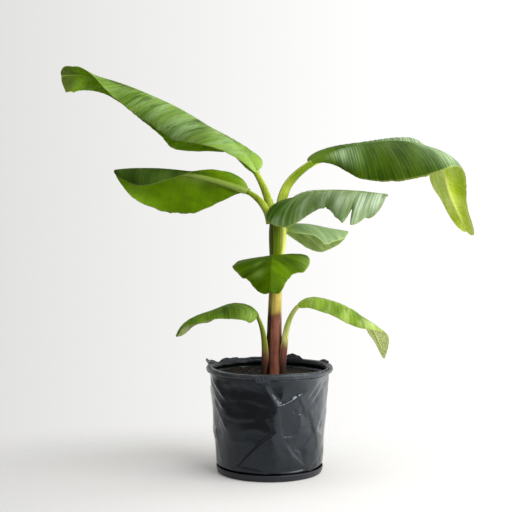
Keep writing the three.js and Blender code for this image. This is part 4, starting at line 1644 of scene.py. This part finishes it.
LEAVES = (
    Leaf(
        "upper_left", (9, 0, 596), 120, (80, 70, 58), (180, 178, 176), (14, 12, 9.5, 7.5), 526, 88,
        (46, 44, 35, 25, 21, 10, -8), (177, 179, 186),
        Half((60, 35, -25, -30, -25, -10), (-60, -70, -120, -120, -50, -30),
             (0.7, 1.2, 1.0, 0.9, 0.65, 0.6, 0.85)),
        Half((85, 50, 0, -30, -30, -10, -10), (20, -55, -125, -140, -100, -55, -40),
             (0.8, 1.3, 1.45, 0.95, 0.68, 0.6, 1.15)),
        PALE, roll=(5, 0, 0, 0, 0, 0, -12, -58, -80), sweep=(-45, -12, 15, 21, 25, 34, 15), ripple=2.5,
        tears=(Tear(1, 0.955, -0.2, 0.03), Tear(1, 0.9, -0.1, 0.025), Tear(-1, 0.92, 0.175, 0.05)),
        patches=(
            Patch(-1, 0.37, 0.06, 0.6, 0.5, 0.95), Patch(-1, 0.52, 0.07, 0.4, 0.5, 0.5),
            Patch(-1, 0.2, 0.07, 0.4, 0.5, 0.45), Patch(-1, 0.33, 0.025, 0.15, 0.2, -0.8),
            Patch(-1, 0.28, 0.03, 0.55, 0.4, -0.5), Patch(-1, 0.74, 0.07, 0.1, 0.2, -0.8),
            Patch(-1, 0.7, 0.07, 0.6, 0.5, -0.35), Patch(0, 0.98, 0.06, 0.6, 0.7, -0.5)),
        pleat=0.7, lean=0.7, fresh=0.3, seed=1),
    Leaf(
        "middle_left", (2, -6, 586), 96, (82, 55, 28), (185, 182, 180), (11, 10, 9, 6.5), 321, 93,
        (23, 16, 9, 2, -5), (180, 180, 178),
        Half((60, 42, 38, 22, 25), (150, 75, -80, -120, -105), (0.45, 0.32, 0.45, 0.85, 0.55)),
        Half((-25, -40, -55, -40, -65), (-115, -110, -70, -90, -105),
             (0.15, 0.62, 1.05, 1.2, 1.2, 1.05, 0.78)),
        DEEP, sweep=(-20, 10, 20, 40), ripple=0.8, pleat=0.25, buckle=0.5,
        patches=(
            Patch(-1, 0.75, 0.2, 0.5, 0.6, -0.5), Patch(1, 0.3, 0.1, 0.35, 0.25, -0.3),
            Patch(0, 0.25, 0.25, 0.0, 0.16, 1.3)), seed=2),
    Leaf(
        "upper_right", (24, 2, 592), 166, (91, 76, 46, 33), (2, 4, 6), (15, 13, 11, 9), 591, 100,
        (34, 12, 4, -25, -62, -42, -38), (10, 12, 12, 24, 50, 55, 64),
        Half((40, 20, 22, 30, 0), (0, -25, 15, 25, -20), (0.85, 0.5, 0.75, 1.1, 0.75, 0.4)),
        Half((-35, -25, 35, -20), (-125, -60, -40, -40), (0.2, 1.1, 1.45, 0.8, 0.55, 0.85)),
        BROAD, sweep=(-30, 10, 25, 40), ripple=1.0, pleat=0.5, buckle=0.6,
        patches=(
            Patch(1, 0.13, 0.055, 0.3, 0.35, 0.45), Patch(1, 0.26, 0.06, 0.6, 0.6, -0.35),
            Patch(1, 0.34, 0.06, 0.45, 0.5, -0.5), Patch(1, 0.4, 0.04, 0.9, 0.25, -0.4),
            Patch(1, 0.56, 0.08, 0.4, 0.6, 0.55), Patch(-1, 0.48, 0.18, 0.5, 0.9, 0.5),
            Patch(1, 0.49, 0.03, 0.65, 0.35, 0.4), Patch(1, 0.45, 0.03, 0.2, 0.22, 0.3)),
        fresh=0.9, tip_node=True, seed=3),
    Leaf(
        "front_right", (22, -14, 580), 59, (100, 70, 38), (-30, -34, -36), (8, 7, 5.5), 266, 100,
        (35, 9, 2, -4, -4), (-40, -33, -28, -27),
        Half((30, 12, 5), (-15, -28, -25), (1, 1, 0.75)),
        Half((40, -43, -35, -45), (-35, -95, -65, -80), (1.1, 1.2, 0.55, 0.45, 0.9, 1.1, 1.2)),
        TORN, sweep=(-45, -25, 0, 0), ripple=1.0,
        pleat=0.5, tears=(
            Tear(1, 0.735, 0.5, 0.03), Tear(1, 0.47, 0.12, 0.02), Tear(1, 0.775, -0.06, 0.035),
            Tear(1, 0.69, -0.06, 0.04), Tear(1, 0.87, 0.16, 0.07)),
        patches=(
            Patch(1, 0.1, 0.16, 0.6, 0.7, -1.1), Patch(1, 0.45, 0.2, 0.1, 0.5, 0.25),
            Patch(1, 0.62, 0.06, 0.5, 0.4, 0.5), Patch(1, 0.8, 0.05, 0.4, 0.4, 1.2),
            Patch(1, 0.92, 0.05, 0.35, 0.4, 1.3)),
        seed=4),
    Leaf(
        "back_right", (26, 12, 544), 36, (81, 55, 27), (40, 38, 36), (7, 5.5, 4.5), 186, 62,
        (26, 2, -11, -9, -10), (33, 35, 30),
        Half((30, -20, -35), (-50, -52, -100), (1.3, 1.5, 0.88)),
        Half((-8, -30, -28), (-55, -88, -92), (0.7, 0.6, 0.8, 0.65, 0.45)),
        SMALL, sweep=(-15, 15, 30, 35), ripple=1.5, lean=1.2, margin_width=3.2, seed=5),
    Leaf(
        "front", (16, -8, 494), 22, (50, 36, 23), (-92, -94), (6, 5), 178, 88,
        (15, 7, -25, -58, -79), (-96, -96, -94),
        Half((25, -20, -12), (5, -58, -30), (0.98, 1.02, 0.68, 0.55, 0.55)),
        Half((5, -20, -8), (-8, -34, -22), (1.3, 1.18, 0.92, 0.7, 0.55)),
        FRONT, sweep=(-15, 10, 20, 45), ripple=2.5, pleat=0.6, buckle=2.6,
        patches=(
            Patch(1, 0.1, 0.06, 0.5, 0.4, -0.6), Patch(1, 0.66, 0.06, 0.55, 0.2, 0.8),
            Patch(1, 0.45, 0.05, 0.45, 0.15, 0.6), Patch(1, 0.52, 0.1, 0.85, 0.2, -0.6),
            Patch(-1, 0.24, 0.1, 0.95, 0.25, 0.8), Patch(-1, 0.38, 0.08, 0.4, 0.25, -0.7),
            Patch(-1, 0.12, 0.06, 0.5, 0.5, -0.5), Patch(0, 0.95, 0.05, 0.5, 0.6, -0.2)), seed=6),
    Leaf(
        "lower_left", (-13, -7, 232), 140, (91, 91, 88, 77, 62), (180, 180), (7, 7.4, 7.2, 6.5, 5), 226, 44,
        (53, 13, -17, -17, -35, -70), (185, 187, 190),
        Half((-10, 11, 20), (-95, -60, -30), (1.35, 1.05, 0.85)),
        Half((40, 8, -18), (-20, -88, -70), (1.05, 0.95, 1.0)),
        LOW, sweep=(-40, 8, 20, 30), ripple=2.0, pleat=0.55,
        patches=(Patch(-1, 0.4, 0.16, 0.6, 0.5, -0.6), Patch(-1, 0.13, 0.08, 0.5, 0.5, 0.7)), clasp=2.5,
        brown_to=284, seed=7),
    Leaf(
        "lower_right", (30, -8, 232.25), 168, (85, 85, 85, 71, 48), (0, 0), (7.6, 7.8, 7.6, 6.8, 5.5), 318,
        46, (38, -4, -22, -35, -50, -47, -54), (2, 6, 12, 34, 58, 68),
        Half((30, 14, 28, 35), (-20, -22, 10, 25), (0.85, 0.75, 1.0, 0.6)),
        Half((-10, -24, 15, -30), (-90, -65, -20, -52), (0.7, 0.92, 1.4, 0.9, 0.5)),
        FRESH, sweep=(-35, 10, 25, 50), ripple=1.5,
        patches=(
            Patch(1, 0.3, 0.05, 0.4, 0.5, -0.25), Patch(1, 0.48, 0.06, 0.3, 0.3, -0.35),
            Patch(1, 0.55, 0.06, 0.7, 0.4, 0.5), Patch(0, 0.75, 0.12, 0.5, 0.6, 0.6)),
        clasp=2.6, brown_to=306, tip_node=True, seed=8),
)


@dataclass
class Studio:
    """Camera, floor and light, in metres and degrees."""

    camera_place: Triple = (-0.032, -2.9, 0.683)
    camera_pitch: float = -3.42
    lens: float = 86.9
    sensor: float = 36.0
    floor_radius: float = 1.4
    floor_sides: int = 128
    floor_middle: tuple[float, float] = (-0.14, 0.0)
    floor_reach: tuple[float, float] = (0.9, 0.62)
    floor_clear: float = 0.05
    floor_colour: Colour = (0.7, 0.692, 0.68)
    floor_painted_shade: Colour = (0.56, 0.554, 0.543)
    paper_span: tuple[float, float] = (-0.22, 0.1)
    paper_light: tuple[float, float] = (0.75, 1.02)
    paper_tint: Colour = (1.0, 0.995, 0.985)
    ceiling_from: float = 0.45
    ceiling_light: float = 0.66
    walls: Sequence[tuple[float, float]] = (
        (-180, 1.0), (-130, 0.95), (-112, 0.35), (-90, 0.2), (14, 0.24), (22, 1.5), (55, 1.6),
        (75, 2.4), (130, 2.6), (150, 1.2), (180, 1.0))

    lights: Sequence[tuple[str, Triple, float, float, float]] = (
        ("key_softbox", (2.1, -1.0, 1.5), 0.4, 1.7, 52),
        ("top_softbox", (0.9, 0.4, 2.6), 0.4, 1.6, 22),
        ("front_softbox", (1.13, -1.95, 1.45), 0.3, 0.9, 28),
    )

    def set_camera(self) -> None:
        """Stand the camera where the photograph was taken from."""
        data = bpy.data.cameras.new("viewpoint")
        data.lens = self.lens
        data.sensor_width = self.sensor
        camera = linked("viewpoint", data)
        camera.location = self.camera_place
        camera.rotation_euler = (math.radians(90 + self.camera_pitch), 0, 0)
        bpy.context.scene.camera = camera

    def lay_floor(self) -> None:
        """Lay a round pale floor that thins out round the pot and its shadow."""
        rim = round_points(np.full(self.floor_sides, self.floor_radius), turns(self.floor_sides), 0.0)
        mesh = bpy.data.meshes.new("studio_floor")
        mesh.from_pydata(rim.tolist(), [], [list(range(self.floor_sides))])
        mix = Mixture("studio_floor_paper")
        scale = [1 / reach for reach in self.floor_reach]
        shift = [-middle * share for middle, share in zip(self.floor_middle, scale)]
        oval = mix.placed(Location=(*shift, 0.0), Scale=(*scale, 1.0))
        away = mix.add("ShaderNodeVectorMath", {0: oval}, operation="LENGTH").outputs["Value"]
        fade = mix.span(away, 0.25, 1.0, self.floor_clear, 1.0)
        split = mix.add("ShaderNodeSeparateXYZ", {0: mix.coordinates})
        # Painted shade: the floor darkens toward the left, standing in for the light falling off away from
        # the lamps on the right.
        shade = mix.blend(mix.span(split.outputs[0], -0.8, 0.15), self.floor_painted_shade, self.floor_colour)
        paper = mix.add("ShaderNodeBsdfPrincipled", {
            "Base Color": shade, "Roughness": 0.7, "Specular IOR Level": 0.2})
        clear = mix.add("ShaderNodeBsdfTransparent")
        mesh.materials.append(mix.done(mix.joined(fade, paper.outputs[0], clear.outputs[0])))
        floor = linked("studio_floor", mesh)

    def set_backdrop(self) -> None:
        """Light the surroundings: pale paper behind the plant, and a room with a bright right side."""
        world = bpy.data.worlds.new("studio_surround")
        bpy.context.scene.world = world
        world.use_nodes = True
        net = Nodes(world.node_tree)
        where = net.add("ShaderNodeTexCoord").outputs["Generated"]
        ways = net.add("ShaderNodeSeparateXYZ", {0: where}).outputs
        paper = net.span(ways["X"], *self.paper_span, *self.paper_light, "LINEAR")
        front = net.times(ways["Y"], -1.0)
        turn = net.add("ShaderNodeMath", {0: ways["X"], 1: front}, operation="ARCTAN2").outputs[0]
        wall = self.wall_light(net, net.span(turn, -math.pi, math.pi, 0.0, 1.0, "LINEAR"))
        high = net.span(ways["Z"], 0.0, self.ceiling_from, 0.0, 1.0, "LINEAR")
        room = net.mixed(high, wall, self.ceiling_light)
        seen = net.add("ShaderNodeLightPath").outputs["Is Camera Ray"]
        glow = net.add("ShaderNodeBackground", {
            "Color": self.paper_tint, "Strength": net.mixed(seen, room, paper)})
        net.add("ShaderNodeOutputWorld", {"Surface": glow.outputs[0]})

    def wall_light(self, net: Nodes, turn: Socket) -> Socket:
        """Read the walls' brightness.

        Args:
            net: The surroundings' nodes.
            turn: Share of a full turn, from the back over the left.

        Returns:
            The brightness.
        """
        brightest = max(light for _, light in self.walls)
        ramp = net.add("ShaderNodeValToRGB", {0: turn})
        stops = ramp.color_ramp.elements
        while len(stops) < len(self.walls):
            stops.new(0.5)
        for stop, (degrees, light) in zip(stops, self.walls):
            stop.position = (degrees + 180) / 360
            stop.color = (light / brightest,) * 3 + (1.0,)
        return net.times(ramp.outputs["Color"], brightest)

    def hang_light(self, name: str, place: Sequence[float], aim: float, size: float, power: float) -> None:
        """Hang a square soft light.

        Args:
            name: Name of the light.
            place: Where it hangs.
            aim: Height of the point on the upright axis that it faces.
            size: Length of its side.
            power: Its power in watts.
        """
        data = bpy.data.lights.new(name, "AREA")
        data.size = size
        data.energy = power
        lamp = linked(name, data)
        lamp.location = place
        x, y, z = place
        lamp.rotation_euler = (math.atan2(math.hypot(x, y), z - aim), 0, math.atan2(-y, -x) - math.pi / 2)

    def build(self) -> None:
        """Set up the whole studio."""
        self.set_camera()
        self.lay_floor()
        self.set_backdrop()
        for light in self.lights:
            self.hang_light(*light)
        bpy.context.scene.view_settings.view_transform = "Standard"


def main() -> None:
    """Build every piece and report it."""
    logging.basicConfig(level=logging.INFO, format="%(message)s")
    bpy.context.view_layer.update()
    Studio().build()
    film = FilmFinish("pot_film").build()
    dusty = FilmFinish("dusty_film", tone(40, 40, 42), tone(150, 148, 144), 0.6, 0.3, 0.4).build()
    Saucer().build(SaucerFinish().build())
    pot = FilmPot()
    pot.build_bag(film)
    rim_film = FilmFinish("rim_film", tone(44, 46, 50), tone(84, 86, 90), 0.4, 0.3, 0.1,
                          (0.42, 0.48, 0.54)).build()
    pot.build_rim(rim_film, dusty)
    compost = Compost()
    compost.build_body(CompostFinish("compost_bed").build())
    compost.build_crumbs(CompostFinish("compost_crumb", tone(12, 10, 8), tone(62, 50, 38)).build())
    FalseStem().build(SheathFinish("stem_sheaths", tone(143, 125, 46), tone(186, 168, 86)).build())
    upper_stalks = SheathFinish("stalk_skin", tone(124, 144, 28), tone(168, 184, 60)).build()
    low_stalks = {
        "lower_left": SheathFinish("aged_stalk_skin", tone(84, 84, 26), tone(120, 114, 50)).build(),
        "lower_right": SheathFinish("pale_stalk_skin", tone(152, 154, 74), tone(200, 192, 130)).build()}
    for leaf in LEAVES:
        leaf.build_stalk(low_stalks.get(leaf.name, upper_stalks))
        leaf.build_blade()


if __name__ == "__main__":
    main()
